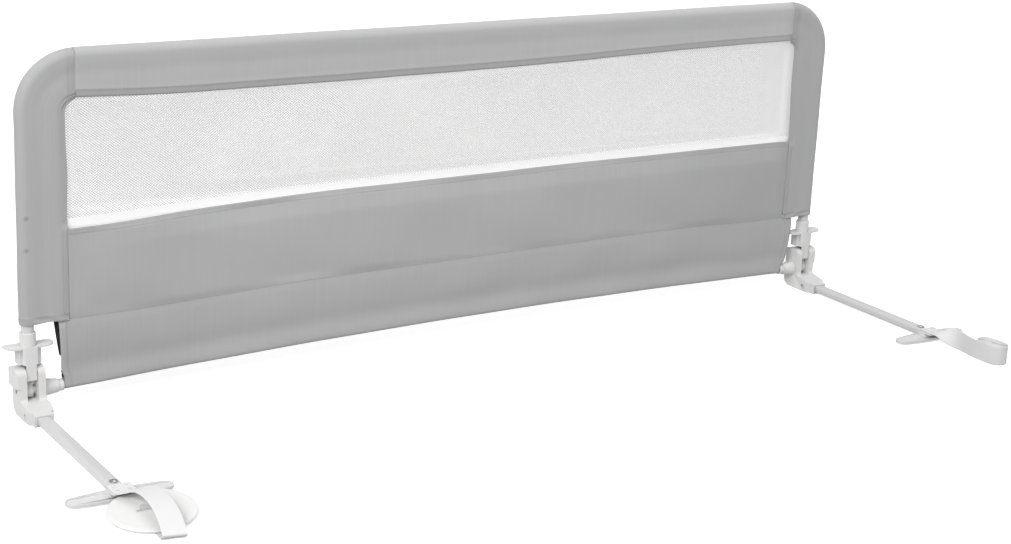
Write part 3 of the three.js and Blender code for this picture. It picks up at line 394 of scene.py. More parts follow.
def section_depth(from_axis):
    """Half depth of the cover at a distance from the tube's axis: the tube's radius, easing to flat."""
    return HALF_DEPTH + (COVER_RADIUS - HALF_DEPTH) * (1 - smooth(from_axis, 0, 30))


def band_line(along):
    """A side band's angle round the bend and its axis height, at a distance up its axis from the hem."""
    straight = BEND_Z - HEM_Z
    turn = np.clip((along - straight) / BEND, 0, None)
    return turn, HEM_Z + np.minimum(along, straight) + BEND * np.sin(turn)


def side_band_form(hand):
    """The form of a side band. The first parameter runs up the leg's axis and round the bend, in
    millimetres. The second goes round the tube, from the inner edge in front to the one behind. Each place
    is the axis point plus a share of the way towards the inner edge, and its depth is the section's, less
    the folds at the seams. The fourth value is painted shade along the seams, the folds, the hem and the
    corner's puckers, evenly over the band, and darker spots on the button marks."""
    def form(along, across):
        turn, axis_z = band_line(along)
        axis_x = BEND * (1 - np.cos(turn))
        inward_x, inward_z = np.cos(turn), -np.sin(turn)
        corner = corner_radius(turn, hand)
        edge_radius = np.maximum(corner, LEAST_EDGE / np.maximum(np.cos(turn), 1e-6))
        reach = np.where(turn > 0, BEND - np.minimum(edge_radius, BEND), band_width(axis_z, hand))
        away, round_angle, on_tube, side = round_tube(across)
        flat = away * reach
        x = axis_x + inward_x * flat
        z = axis_z + inward_z * flat

        # Distances from the seams, and where each seam's folds show
        rim = np.hypot(x - BEND, z - BEND_Z) - corner
        beside_window = np.maximum(np.where(z < BEND_Z, band_width(axis_z, hand) - x, rim), 0)
        from_top_band = BAND_TOP_WIDTH - x
        off_tube = (flat > 0).astype(float)
        window_side = smooth(z, 272, 282) * (1 - smooth(z, 462, 474)) * off_tube
        panel_side = (1 - smooth(z, 268, 276)) * off_tube
        top_side = smooth(z, 455, 470)

        fold = 2.3 * bump(beside_window, 0, 9) * window_side
        fold = fold + (0.4 * bump(beside_window, 0, 2.4)
                       + 0.3 * bump(beside_window, BAND_EDGE_LINE, 1.3)) * panel_side
        fold = fold + (0.5 * bump(from_top_band, 0, 3.0) + 0.3 * bump(from_top_band, 10, 1.6)) * top_side
        hollow = (0.4 + 0.35 * smooth(turn, 0, 0.6)) * bump(flat, 21, 9) * off_tube
        hem = 0.45 * (1 - smooth(z, HEM_Z + 10, HEM_Z + 12)) - 0.3 * bump(z, HEM_Z + 9, 1.6)
        calm = smooth(beside_window, 0, 12) * smooth(from_top_band, 0, 16)
        wave = ripple(hand * 900 + x, z, 31 + hand, 0.5) * smooth(flat, 4, 30) * calm
        wave = wave + streaks(x, z, 41 + hand, 0.12) * smooth(flat, 2, 14) * calm
        crumple = 0.8 * bump(z, HEM_Z + 5, 6) * np.sin(x / 6.1 + z / 3.1 + hand)
        gathers = np.sin(rim * 0.9 + 4 * turn)
        pucker = 0.5 * bump(rim, 5, 7) * smooth(turn, 0.15, 0.5) * gathers * off_tube
        ahead = np.where(on_tube, -COVER_RADIUS * np.cos(round_angle), x)
        marks = [np.hypot(ahead + 1.5, z - height) for height in BUTTON_MARKS]
        marked = (side < 0) & (hand < 0)
        button = sum(1.3 * bump(mark, 0, 3.0) - 0.25 * bump(mark, 6.0, 2.4) for mark in marks) * marked
        swell = hem + crumple + pucker - sizes().seam_depth / MM * (fold + hollow) - button
        depth = section_depth(flat) + swell + wave
        radius = COVER_RADIUS + swell * (1 - 0.6 * np.abs(np.cos(round_angle)))
        radius = radius + 0.2 * np.sin(along / 23 + hand) * np.cos(round_angle)

        # Painted shade: darker along the seams beside the panel and the window, in the corner's puckers, in
        # the strip under the top band and along the hem, and evenly over each band, the left a little more
        # than the right
        seam = 0.08 * bump(beside_window, 4, 5.5) + 0.05 * bump(beside_window, BAND_EDGE_LINE, 1.6)
        dark = (0.05 if hand > 0 else 0.06) + (seam + 0.05 * bump(beside_window, 0, 1.6)) * panel_side
        dark = dark + 0.07 * bump(beside_window, 0, 9) * window_side
        dark = dark + bump(rim, 2.5, 3.5) * smooth(turn, 0.2, 0.6) * off_tube * (0.1 + 0.1 * gathers)
        strip = 1 - smooth(from_top_band, 11, 14 + 6 * (hand > 0))
        dark = dark + 0.09 * strip * (1 - 0.3 * bump(flat, 0, 12)) * top_side
        dark = dark + 0.14 * bump(z, HEM_Z + 8, 2.4) + 0.1 * bump(z, HEM_Z, 1.2)
        # Darker spots on the button marks
        dark = dark + 0.24 * sum(bump(mark, 0, 3.5) for mark in marks) * marked

        x = np.where(on_tube, axis_x - inward_x * radius * np.cos(round_angle), x)
        z = np.where(on_tube, axis_z - inward_z * radius * np.cos(round_angle), z)
        y = np.where(on_tube, radius * np.sin(round_angle), side * depth)
        z = z + 0.7 * np.sin(x / 11 + hand) * bump(along, 0, 14)
        x = x + 1.2 * smooth(z, 150, 420) * (1 - smooth(z, 440, 500)) * np.clip(1 - flat / 40, 0, 1)
        return np.stack([hand * (LEG_X - x), y, z, dark], -1)

    return form


SIDE_BAND_PATH = BEND_Z - HEM_Z + BEND * np.arccos(LEAST_EDGE / BEND)


def top_band_form(x, across):
    """The top band. The first parameter is x. The second goes round the tube, from the lower edge in front
    to the one behind. The lowest 11 mm, its hem, lean inwards."""
    low = window_top(x)
    away, round_angle, on_tube, side = round_tube(across)
    below = away * (TOP_AXIS - low)
    z = TOP_AXIS - below
    height = z - low
    folds = sizes().seam_depth / MM
    end = TOP_BAND_HALF - np.abs(x)
    lean = 0.2 * np.clip(11 - height, 0, None) + 0.8 * bump(height, 0, 1.5) - 0.35 * bump(height, 12.5, 2.5)
    calm = smooth(end, 0, 16)
    wave = ripple(x, z, 7, 0.8) * smooth(below, 5, 30) + streaks(x, z, 8, 0.16) * smooth(below, 3, 20)
    hollow = 0.45 * bump(below, 22, 9) * (below > 0)
    depth = section_depth(below) + wave * calm - folds * (lean + hollow + 0.5 * bump(end, 0, 3.0))
    radius = COVER_RADIUS - folds * 0.5 * bump(end, 0, 3.0) + 0.18 * np.sin(x / 61) * np.cos(round_angle)
    hem = 1 - smooth(height, 10, 11.5)
    # Painted shade: over the inward-leaning hem, along its stitched line and lower edge, at the right end,
    # and over the whole band, most at the left end and none at the right
    dark = (0.05 * hem + 0.14 * bump(height, 10.4, 1.2) + 0.2 * bump(height, 0, 1.6)) * (below > 0)
    dark = dark + 0.05 * (1 - smooth(end, 0, 26)) * (x > 0) + 0.065 - 0.0001 * x
    y = np.where(on_tube, radius * np.sin(round_angle), side * depth)
    z = np.where(on_tube, TOP_AXIS + radius * np.cos(round_angle), z)
    return np.stack([x, y, z, dark], -1)


def panel_form(side):
    """A lower panel. The first parameter is x, the second runs 0 to 1 from the crease to the window. The
    panel swells slightly, dips at its seams and crease, and leans back along the window."""
    def form(x, share):
        low, high = crease_height(x) + 0.05, window_bottom(x, side)
        z = low + (high - low) * share
        folds = sizes().seam_depth / MM
        end, top, foot = PANEL_HALF - np.abs(x), high - z, z - low
        lean = 0.35 + 0.65 * smooth(x, -620, -350)
        rolled = 6.0 * lean * np.clip(1 - top / 33, 0, 1) * smooth(end, 0, 35)
        hem = 0.3 * (1 - smooth(top, 8, 9.5)) - 0.35 * bump(top, 8.8, 1.0) - 0.6 * bump(top, 0, 1.4)
        fold = 0.8 * bump(end, 0, 2.4) + 0.3 * bump(end, 6, 1.3) + 0.8 * bump(foot, 0, 6.0)
        loose = smooth(end, 0, 60) * smooth(top, 0, 12) * smooth(foot, 0, 14)
        wave = ripple(x, z, 17 - side, 1.6) * loose
        wave = wave + streaks(x, z, 19 + side, 0.2) * smooth(end, 0, 10) * smooth(foot, 0, 14)
        belly = 1.5 * np.sin(pi * share) * smooth(end, 0, 120)
        depth = HALF_DEPTH + hem + wave + belly - rolled - folds * fold
        # Painted shade: at the panel's ends and seam lines, under its top edge and along the hem's line, at
        # the crease, and more towards both ends of the rail
        dark = 0.06 * bump(end, 0, 4.5) + 0.04 * bump(end, 0, 1.2) + 0.04 * bump(end, 9, 8) * (x > 0)
        dark = dark + 0.1 * bump(top, 2.5, 2.4) + 0.04 * bump(top, 9, 1.0) + 0.02 * bump(foot, 0, 3.0)
        dark = dark + 0.05 * smooth(-x, 350, 600) + 0.075 * smooth(x, 300, 600)
        return np.stack([x, side * depth, z, dark], -1)

    return form


def flap_depth(height, loose=1.0):
    """Half depth of the flap at a share of the way up from the crossbar: loose round the crossbar, drawn in
    above it like a waist, then easing out to the cover's depth."""
    depth = FLAP_RADIUS - 0.1 + (HALF_DEPTH + 0.1 - FLAP_RADIUS) * smooth(height, 0.05, 0.78)
    waist = 1.5 * bump(height, 0.27, 0.16) * smooth(height, 0, 0.1)
    return depth - waist + 1.6 * loose * bump(height, 0.04, 0.14)


def flap_form(x, across):
    """The lower flap. The first parameter is x. The second goes round the crossbar, from the crease in front
    to the one behind. The front's two ends reach further out towards the crease. Where the flap lies behind
    a side band's hem it is tucked in."""
    high, centre = crease_height(x) - 0.05, PIVOT_Z + crossbar_rise(x)
    height, round_angle, on_bar, side = round_tube(across)
    z = centre + (high - centre) * height
    end = FLAP_HALF - np.abs(x)
    hem = 0.35 * (1 - smooth(end, 9, 10.5)) - 0.3 * bump(end, FLAP_LINE, 0.9)
    wave = ripple(x, z, 23, 1.1) * smooth(end, 4, 60) + streaks(x, z, 29, 0.2)
    loose = smooth(end, 5, 60)
    depth = flap_depth(height, loose) + wave * np.sin(pi * np.clip(height, 0, 1))
    depth = depth + hem * smooth(height, 0, 0.2) * smooth(high - z, 0, 8)
    depth = depth - sizes().seam_depth / MM * 0.8 * bump(high - z, 0, 7.0)
    depth = depth - 1.6 * smooth(np.abs(x), WINDOW_HALF - 0.4, WINDOW_HALF + 1.4) * smooth(z, 126, 135)
    radius = FLAP_RADIUS + 0.15 * np.sin(x / 37)
    slack = (flap_depth(0.0) - FLAP_RADIUS) * loose
    # Painted shade: along the stitched lines and at the crease, wider under the crease towards the right, and
    # more towards the left end
    dark = 0.12 * bump(end, FLAP_LINE, 1.2) * (height > 0.02) + 0.02 * bump(high - z, 0, 3.0)
    dark = dark + 0.04 * bump(high - z, 0, 18) * smooth(x, 300, 560) + 0.05 * smooth(-x, 350, 600)
    y = np.where(on_bar, (radius + slack) * np.sin(round_angle), side * depth)
    z = np.where(on_bar, centre - radius * np.cos(round_angle), z)
    flare = 5.5 * smooth(z, 44, 66) + 2.5 * smooth(z, 66, 136) + 6.5 * (x > 0) * smooth(z, 44, 54)
    x = x + np.sign(x) * flare * (side < 0) * np.clip(1 - end / 60, 0, 1)
    return np.stack([x, y, z, dark], -1)


def net_depth(x, z, side):
    """Half depth of a net: 9 mm in the middle, easing inwards to where the net is sewn in."""
    from_panel = z - window_bottom(x, side)
    rim = np.minimum(WINDOW_HALF - np.abs(x), np.minimum(window_top(x) - z, from_panel))
    depth = 8.9 - 2.8 * (1 - smooth(rim, -3, 16)) + ripple(x, z, 57 + side, 0.5) * smooth(rim, 0, 60)
    return 3.6 + (depth - 3.6) * smooth(from_panel, -2, 42)


def net_form(side):
    """A net: x, and a share of the height between 6 mm under and 4 mm over the window's edges."""
    def form(x, share):
        low, high = window_bottom(x, side) - 6, window_top(x) + 4
        z = low + (high - low) * share
        return np.stack([x, side * net_depth(x, z, side), z], -1)

    return form


def frame_tape_form(along, across):
    """A tape inside the back net, 14 mm wide, once round the window: the first parameter runs 0 to 1 along
    the lower edge, to 2 up the right one, to 3 back along the upper one and to 4 down the left one."""
    inset = 14 * across
    leg = np.floor(along)
    run = along - leg
    end = WINDOW_HALF + 12 - 24 * across
    low, high = 283 + inset, 470 - inset
    legs = [leg == 0, leg == 1, leg == 2]
    x = np.select(legs, [-end + 2 * end * run, end, end - 2 * end * run], -end)
    z = np.select(legs, [low, low + (high - low) * run, high], high - (high - low) * run)
    return np.stack([x, net_depth(x, z, 1) - 0.9, z], -1)


def strip_form(x, share):
    """A strip behind the front panel's hem, which shows over it most in the middle."""
    low = window_bottom(x, -1) - 6
    high = 297 - 9 * bump(x, -WINDOW_END, 200) - 6 * bump(x, WINDOW_END, 120)
    z = low + (high - low) * share
    return np.stack([x, -(net_depth(x, z, -1) + 0.5), z], -1)


def closing_tape_form(height, share):
    """A tape inside the flap's open end, from z = 44 to 136.3. Its outer edge leans, bulges in the middle
    and is notched twice near its foot."""
    z = 44 + (136.3 - 44) * height
    outer = -698.3 + 0.125 * (136.3 - z) + 2.5 * smooth(z, 56, 60) * (1 - smooth(z, 77, 80))
    outer = outer - 1.6 * (bump(z, 54, 2.2) + bump(z, 48, 2.2))
    x = outer + (-673 - outer) * share
    return np.stack([x, flap_depth((z - PIVOT_Z) / (HEM_Z - PIVOT_Z)) - 2.0, z], -1)


# Straps

def follow(rows, steps):
    """A smooth path through rows of points, with its directions: between two rows each place is a cubic
    whose slopes come from the rows around, spaced by the square root of their distances."""
    rows = np.asarray(rows, float)
    before, after = 2 * rows[0] - rows[1], 2 * rows[-1] - rows[-2]
    padded = np.vstack([before, rows, after])
    place = np.linspace(0, len(rows) - 1, steps + 1)
    first = np.minimum(place.astype(int), len(rows) - 2)
    share = (place - first)[:, None]
    p0, p1, p2, p3 = (padded[first + k] for k in range(4))
    gap = [np.sqrt(np.linalg.norm(b - a, axis=1))[:, None] for a, b in ((p0, p1), (p1, p2), (p2, p3))]
    slope1 = ((p1 - p0) / gap[0] - (p2 - p0) / (gap[0] + gap[1]) + (p2 - p1) / gap[1]) * gap[1]
    slope2 = ((p2 - p1) / gap[1] - (p3 - p1) / (gap[1] + gap[2]) + (p3 - p2) / gap[2]) * gap[1]
    square, cube = share ** 2, share ** 3
    middle = (p1 + slope1 * share + (3 * (p2 - p1) - 2 * slope1 - slope2) * square
              + (2 * (p1 - p2) + slope1 + slope2) * cube)
    return middle, unit(np.gradient(middle, axis=0))


def banked(middle, along, bank, turn):
    """Width direction of a band: a level line turned by turn, then tilted about the path by bank."""
    level = np.stack([np.cos(turn), np.sin(turn), np.zeros_like(turn)], -1)
    above = unit(np.cross(along, level))
    return level * np.cos(bank)[:, None] + above * np.sin(bank)[:, None]


def webbing_mesh(name, middle, side):
    """A band of webbing: its section, a slim oblong with round selvedges, is carried along the middles with
    its width along side. The pattern runs across and along the band in its real lengths."""
    along = unit(np.gradient(middle, axis=0))
    side = unit(side - (side * along).sum(-1, keepdims=True) * along)
    up = np.cross(along, side)
    angle = np.linspace(0, 2 * pi, 48, endpoint=False)
    width = STRAP_WIDTH / 2 * np.sign(np.cos(angle)) * np.abs(np.cos(angle)) ** 0.24
    height = STRAP_THICKNESS / 2 * np.sign(np.sin(angle)) * np.abs(np.sin(angle)) ** 0.34
    points = middle[:, None] + side[:, None] * width[None, :, None] + up[:, None] * height[None, :, None]
    length = run_length(middle)
    uv = np.stack(np.broadcast_arrays(np.append(width, width[0])[None, :], length[:, None]), -1)
    mesh = grid_mesh(name, points, uv, closed=(False, True), caps=True)
    return outward(mesh), length[-1]


DISC_OFFSET, DISC_CENTRE, DISC_RADIUS, DISC_THICKNESS = 15.0, 82.0, 59.0, 3.0
DISC_RISE = (0.0405, 0.0525)
DISC_MIDDLE = 2 + DISC_RADIUS * np.hypot(*DISC_RISE)
SLOT_OFFSET, SLOT_HALF, SLOT_ROUND = 5.5, 15.6, 2.5
# The straps lie flat on their feet from the first of these distances to the last
FLAT_ROWS = (2.0, 13.5, 27.0)
LOOP_REACH, LOOP_ARCH, LOOP_LIP = 164.0, 11.8, 7.6
# Rows: sideways, outwards beyond the flat part and upwards as shares, then the turn as a share of a right
# angle
OVER = np.array([
    (0.1, 0.044, 0.068, 0.089), (0.4, 0.095, 0.34, 0.167), (0.75, 0.153, 0.68, 0.167),
    (1.03, 0.226, 0.93, 0.111), (1.2, 0.343, 1, 0.022), (1.22, 0.511, 0.966, -0.044),
    (1.15, 0.679, 0.636, -0.089), (1, 0.839, 0.06, -0.111), (0.8, 0.949, -0.4, -0.122)])
# The same, with shares of the whole way outwards
LIP = np.array([
    (0.7, 1, 1, -0.133), (0.7, 0.979, 0.25, -0.133), (0.733, 0.921, 0.013, -0.111),
    (0.82, 0.799, 0, -0.089), (0.9, 0.659, 0, -0.044), (0.96, 0.537, 0.04, 0)])
# Rows: upwards, outwards and the turn
RISE = np.array([(0.03, 0.18, 0), (0.3, 0.015, 0), (0.7, 0, 0), (1, 0.08, 0)])
LEAD_SWING, LEAD_RUN, LEAD_LIFT = 4.6, 120.0, 4.0
# Rows: sideways, outwards beyond the flat part and upwards, then bank and turn as shares of a right angle
LEAD = np.array([
    (0.043, 0.052, 0.3, 0.04, 0.02), (0.25, 0.135, 0.8, 0.2, 0.05), (0.65, 0.239, 0.75, 0.44, 0.067),
    (0.96, 0.348, 0.4, 0.66, 0.03), (1, 0.471, 0.1, 0.84, -0.03), (0.652, 0.6, 0, 0.96, -0.089),
    (0.13, 0.731, 0, 1, -0.111), (-0.435, 0.871, 0, 1, -0.1), (-0.804, 1, 0, 1, -0.067)])
ROLL_TURNS, ROLL_PITCH, ROLL_RADIUS, ROLL_STRAIGHT = 8, 2.0, 18.4, 21.0
ROLL_OFFSET, ROLL_CENTRE, ROLL_SQUARENESS = 14.0, 140.0, 1.6


def at_rows(values, steps):
    """A row's value at each station, on straight lines between the rows."""
    return np.interp(np.linspace(0, len(values) - 1, steps + 1), np.arange(len(values)), values) * pi / 2


def beyond_flat(share, reach):
    """How far out a place is: a share of the way from the flat part's end to the reach."""
    return FLAT_ROWS[-1] + (reach - FLAT_ROWS[-1]) * share


def flat_rows():
    return np.array([(0.0, -y, STRAP_Z) for y in FLAT_ROWS])


def left_strap_path():
    """Over the disc, round its lip, back under it and up through its slot."""
    under = 0.2 + STRAP_THICKNESS / 2
    over = np.stack([OVER[:, 0] * DISC_OFFSET, -beyond_flat(OVER[:, 1], LOOP_REACH),
                     STRAP_Z + OVER[:, 2] * LOOP_ARCH], -1)
    lip = np.stack([LIP[:, 0] * DISC_OFFSET, -LIP[:, 1] * LOOP_REACH,
                    under + LIP[:, 2] * (LOOP_LIP - under)], -1)
    slot_y = DISC_CENTRE - SLOT_OFFSET
    rise = np.stack([np.full(4, DISC_OFFSET), -slot_y - RISE[:, 1] * 14, under + RISE[:, 0] * 16], -1)
    turns = np.concatenate([np.zeros(len(FLAT_ROWS)), OVER[:, 3], LIP[:, 3], RISE[:, 2]])
    steps = 240
    middle, along = follow(np.vstack([flat_rows(), over, lip, rise]), steps)
    side = banked(middle, along, np.zeros(steps + 1), at_rows(turns, steps))
    return middle + np.array([-LEG_X, ARM_END, 0]), side


def right_strap_path():
    """From the foot, turning onto its edge, then wound inwards: each turn is a circle stretched towards an
    oblong, a pitch smaller than the one round it."""
    led = np.stack([LEAD[:, 0] * LEAD_SWING, -beyond_flat(LEAD[:, 1], LEAD_RUN),
                    STRAP_Z + LEAD_LIFT * LEAD[:, 2]], -1)
    level = np.zeros(len(FLAT_ROWS))
    steps = 120
    lead, along = follow(np.vstack([flat_rows(), led]), steps)
    bank, turn = (at_rows(np.concatenate([level, LEAD[:, k]]), steps) for k in (3, 4))
    lead_side = banked(lead, along, bank, turn)
    share = np.arange(0, ROLL_TURNS * 72 + 1) / 72
    angle, radius = pi + 2 * pi * share, ROLL_RADIUS - ROLL_PITCH * share
    stretch = np.clip(ROLL_SQUARENESS * np.sin(angle), -1, 1) * ROLL_STRAIGHT / 2
    # The roll's first three places lie inside the lead's end
    roll = np.stack([ROLL_OFFSET + radius * np.cos(angle), radius * np.sin(angle) + stretch - ROLL_CENTRE,
                     np.full_like(angle, STRAP_Z)], -1)[3:]
    side = np.vstack([lead_side, np.tile([0.0, 0.0, 1.0], (len(roll), 1))])
    return np.vstack([lead, roll]) + np.array([LEG_X, ARM_END, 0]), side


def disc_mesh(name):
    """The anchor disc as one closed ring of faces: from the slot's rim out over the top, round the edge, back
    under and up the slot's wall. Top and bottom places lie between the slot's outline and the circle."""
    angle = np.linspace(0, 2 * pi, 192, endpoint=False)
    circle = np.stack([np.cos(angle), np.sin(angle)], -1)
    straight = np.clip(30 * np.cos(angle), -SLOT_HALF, SLOT_HALF)
    slot = np.stack([straight + SLOT_ROUND * np.cos(angle),
                     SLOT_OFFSET + SLOT_ROUND * np.clip(2.2 * np.sin(angle), -1, 1)], -1)
    flat_radius, half = DISC_RADIUS - 1, DISC_THICKNESS / 2
    edge = np.linspace(pi / 2, -pi / 2, 9)
    outlines, heights = [], []
    for share in np.linspace(0, 1, 26):
        outlines.append(slot * (1 - share) + circle * flat_radius * share)
        heights.append(DISC_THICKNESS + 0.5 * bump(share, 0.86, 0.03) - 0.35 * bump(share, 0.0, 0.02))
    underside = outlines[::-1]
    outlines += [circle * (flat_radius + np.cos(turn)) for turn in edge] + underside
    heights += [*(half + half * np.sin(edge)), *np.zeros(len(underside))]
    rings = [np.column_stack([flat, np.full(len(angle), height)]) for flat, height in zip(outlines, heights)]
    lean = np.array([[1, 0, 0], [0, 1, 0], [*DISC_RISE, 1]])
    middle = np.array([DISC_OFFSET - LEG_X, ARM_END - DISC_CENTRE, DISC_MIDDLE])
    points = np.stack(rings, 1) @ lean.T + middle
    return outward(grid_mesh(name, points, closed=(True, True)))


# Stitching

# A stitch's share of the pitch, the depth of its ends in the cloth and how far its middle rises from there
STITCH_SHARE, STITCH_DIP, STITCH_RISE = 0.82, 0.18, 0.3


def stitch_line(form, along, across):
    """Places and outward directions on a form along a line: the direction is the cross product of the
    form's two slopes, turned to look away from the middle plane."""
    here = form(along, across)[..., :3]
    step = 1e-3
    slope_a = form(along + step, across)[..., :3] - here
    slope_b = form(along, across + step * 0.02)[..., :3] - here
    normal = unit(np.cross(slope_a, slope_b))
    away = np.sign((normal[:, 1] * here[:, 1]))[:, None]
    return here, normal * np.where(away == 0, 1, away)


def along_line(places, length, values):
    """Values that belong to the lengths of a line, read at places along it."""
    return np.stack([np.interp(places, length, values[:, k]) for k in range(3)], -1)


def stitches_mesh(name, lines, pitch, thread):
    """Sewn stitches: along each line, every pitch, a short thread whose ends dip into the cloth. A stitch is
    a tube whose radius and height follow half a sine of its length."""
    centres, alongs, normals = [], [], []
    for here, normal in lines:
        length = run_length(here)
        at = (np.arange(int(length[-1] / pitch)) + 0.5) * pitch
        centres.append(along_line(at, length, here))
        alongs.append(unit(along_line(at + 0.3, length, here) - along_line(at - 0.3, length, here)))
        normals.append(unit(along_line(at, length, normal)))
    centre, along, up = (np.concatenate(parts) for parts in (centres, alongs, normals))
    across = unit(np.cross(along, up))
    rings, sides = 5, 5
    share = np.linspace(0, 1, rings)
    radius = thread / 2 * (0.45 + 0.55 * np.sin(pi * share))
    height = STITCH_RISE * np.sin(pi * share) - STITCH_DIP
    angle = np.linspace(0, 2 * pi, sides, endpoint=False)
    ahead = (share - 0.5) * pitch * STITCH_SHARE
    out = (centre[:, None, None] + along[:, None, None] * ahead[None, :, None, None]
           + across[:, None, None] * (radius[:, None] * np.cos(angle))[None, :, :, None]
           + up[:, None, None] * (height[:, None] + radius[:, None] * np.sin(angle))[None, :, :, None])
    ring, corner = (values.ravel() for values in grid(np.arange(rings - 1), np.arange(sides)))
    after = (corner + 1) % sides
    quads = np.stack([ring * sides + corner, ring * sides + after, (ring + 1) * sides + after,
                      (ring + 1) * sides + corner], -1)
    ends = np.stack([np.arange(sides)[::-1], (rings - 1) * sides + np.arange(sides)])
    first = np.arange(len(centre))[:, None] * rings * sides
    corners = np.concatenate([(first + quads.reshape(1, -1)), (first + ends.reshape(1, -1))], 1)
    per_stitch = np.concatenate([np.arange(len(quads)) * 4, len(quads) * 4 + np.arange(2) * sides])
    starts = (np.arange(len(centre))[:, None] * corners.shape[1] + per_stitch).ravel()
    return outward(raw_mesh(name, out.reshape(-1, 3), corners.ravel(), starts))


# Materials

# Half a net thread's share of the pitch, and the share that two crossing sets of threads cover
NET_THREAD = 0.125
NET_COVER = 1 - (1 - 2 * NET_THREAD) ** 2
# Painted light: how strongly the tapes glow, which stands in for light that comes through them from behind:
# the window's frame and the strip in front
FRAME_GLOW, STRIP_GLOW = 0.45, 0.12
WHITE = (1, 1, 1, 1)
# Distances in metres from one thread or rib to the next, and half the width of a row of the herringbone
CLOTH_WEAVE, TAPE_WEAVE, HOOK_WEAVE, RIB_PITCH, HERRING_WIDTH = 0.0011, 0.0009, 0.0022, 0.0017, 0.004


class Nodes:
    """Short names for the nodes of one material or world."""

    def __init__(self, owner, ending="OutputMaterial"):
        self.owner = owner
        owner.use_nodes = True
        self.tree = owner.node_tree
        self.tree.nodes.clear()
        self.output = self.add(ending)

    def link_or_set(self, socket, value):
        if hasattr(value, "is_linked") and hasattr(value, "node"):
            self.tree.links.new(value, socket)
        else:
            socket.default_value = value

    def add(self, kind, inputs=None, **settings):
        node = self.tree.nodes.new("ShaderNode" + kind)
        for key, value in settings.items():
            setattr(node, key, value)
        for key, value in (inputs or {}).items():
            self.link_or_set(node.inputs[key], value)
        return node

    def maths(self, operation, *values):
        return self.add("Math", dict(enumerate(values)), operation=operation).outputs[0]

    def mix(self, share, low, high):
        low, high = ((*value, 1) if isinstance(value, tuple) else value for value in (low, high))
        return self.add("Mix", {"Factor": share, 6: low, 7: high}, data_type="RGBA").outputs[2]

    def noise(self, vector, scale, detail=3.0, roughness=0.5):
        return self.add("TexNoise", {"Vector": vector, "Scale": scale, "Detail": detail,
                                     "Roughness": roughness}).outputs[0]

    def place(self, kind):
        return self.add("TexCoord").outputs[kind]

    def stretched(self, vector, x, y, z):
        return self.add("Mapping", {"Vector": vector, "Scale": (x, y, z)}).outputs[0]

    def bumped(self, height, distance, strength=1.0, normal=None):
        inputs = {"Height": height, "Distance": distance, "Strength": strength}
        if normal is not None:
            inputs["Normal"] = normal
        return self.add("Bump", inputs).outputs[0]

    def rounded(self, radius):
        return self.add("Bevel", {"Radius": radius}, samples=6).outputs[0]

    def principled(self, tone, roughness, normal, **more):
        """A surface. The names of further inputs are written with underlines."""
        inputs = {"Base Color": tone, "Roughness": roughness, "Normal": normal}
        inputs.update({key.replace("_", " "): value for key, value in more.items()})
        return self.add("BsdfPrincipled", inputs).outputs[0]

    def done(self, shader):
        self.tree.links.new(shader, self.output.inputs["Surface"])
        return self.owner


def woven(nodes, uv, pitch):
    """Height of a plain weave: threads that pass over and under each other every pitch."""
    place = nodes.add("SeparateXYZ", {"Vector": uv})
    warp = nodes.maths("SINE", nodes.maths("MULTIPLY", place.outputs[0], 2 * pi / pitch))
    weft = nodes.maths("SINE", nodes.maths("MULTIPLY", place.outputs[1], 2 * pi / pitch))
    return nodes.maths("MULTIPLY", warp, weft)


def shade(colour, factor):
    return tuple(min(1.0, channel * factor) for channel in colour)


def cloth_material(nodes, colour):
    """Plain woven polyester: a fine weave, faint upright streaks, soft blotches and a low sheen, with painted
    shade from its points that darkens the colour towards black.
    """
    uv = nodes.place("UV")
    weave = woven(nodes, uv, CLOTH_WEAVE)
    streak = nodes.noise(nodes.stretched(uv, 330, 5, 1), 1.0, 4.0, 0.62)
    blotch = nodes.noise(uv, 9.0, 4.0, 0.55)
    slub = nodes.noise(nodes.stretched(uv, 40, 900, 1), 1.0, 2.0)
    tone = nodes.mix(streak, shade(colour, 0.93), shade(colour, 1.07))
    tone = nodes.mix(nodes.maths("MULTIPLY", blotch, 0.35), tone, shade(colour, 1.05))
    tone = nodes.mix(nodes.maths("MULTIPLY", nodes.maths("MULTIPLY_ADD", weave, 0.5, 0.5), 0.12), tone,
                     shade(colour, 0.8))
    # Painted shade: each cloth piece's point attribute mixes the colour towards black
    dark = nodes.add("Attribute", attribute_name="PaintedShade", attribute_type="GEOMETRY").outputs["Fac"]
    tone = nodes.mix(dark, tone, (0.0, 0.0, 0.0))
    height = nodes.maths("MULTIPLY_ADD", weave, 0.5, nodes.maths("MULTIPLY", slub, 0.8))
    normal = nodes.bumped(streak, 0.0004, 0.35, nodes.bumped(height, 0.00008, 0.6))
    roughness = nodes.maths("MULTIPLY_ADD", blotch, 0.12, 0.7)
    return nodes.principled(tone, roughness, normal, Sheen_Weight=0.25, Sheen_Roughness=0.5,
                            Specular_IOR_Level=0.25)


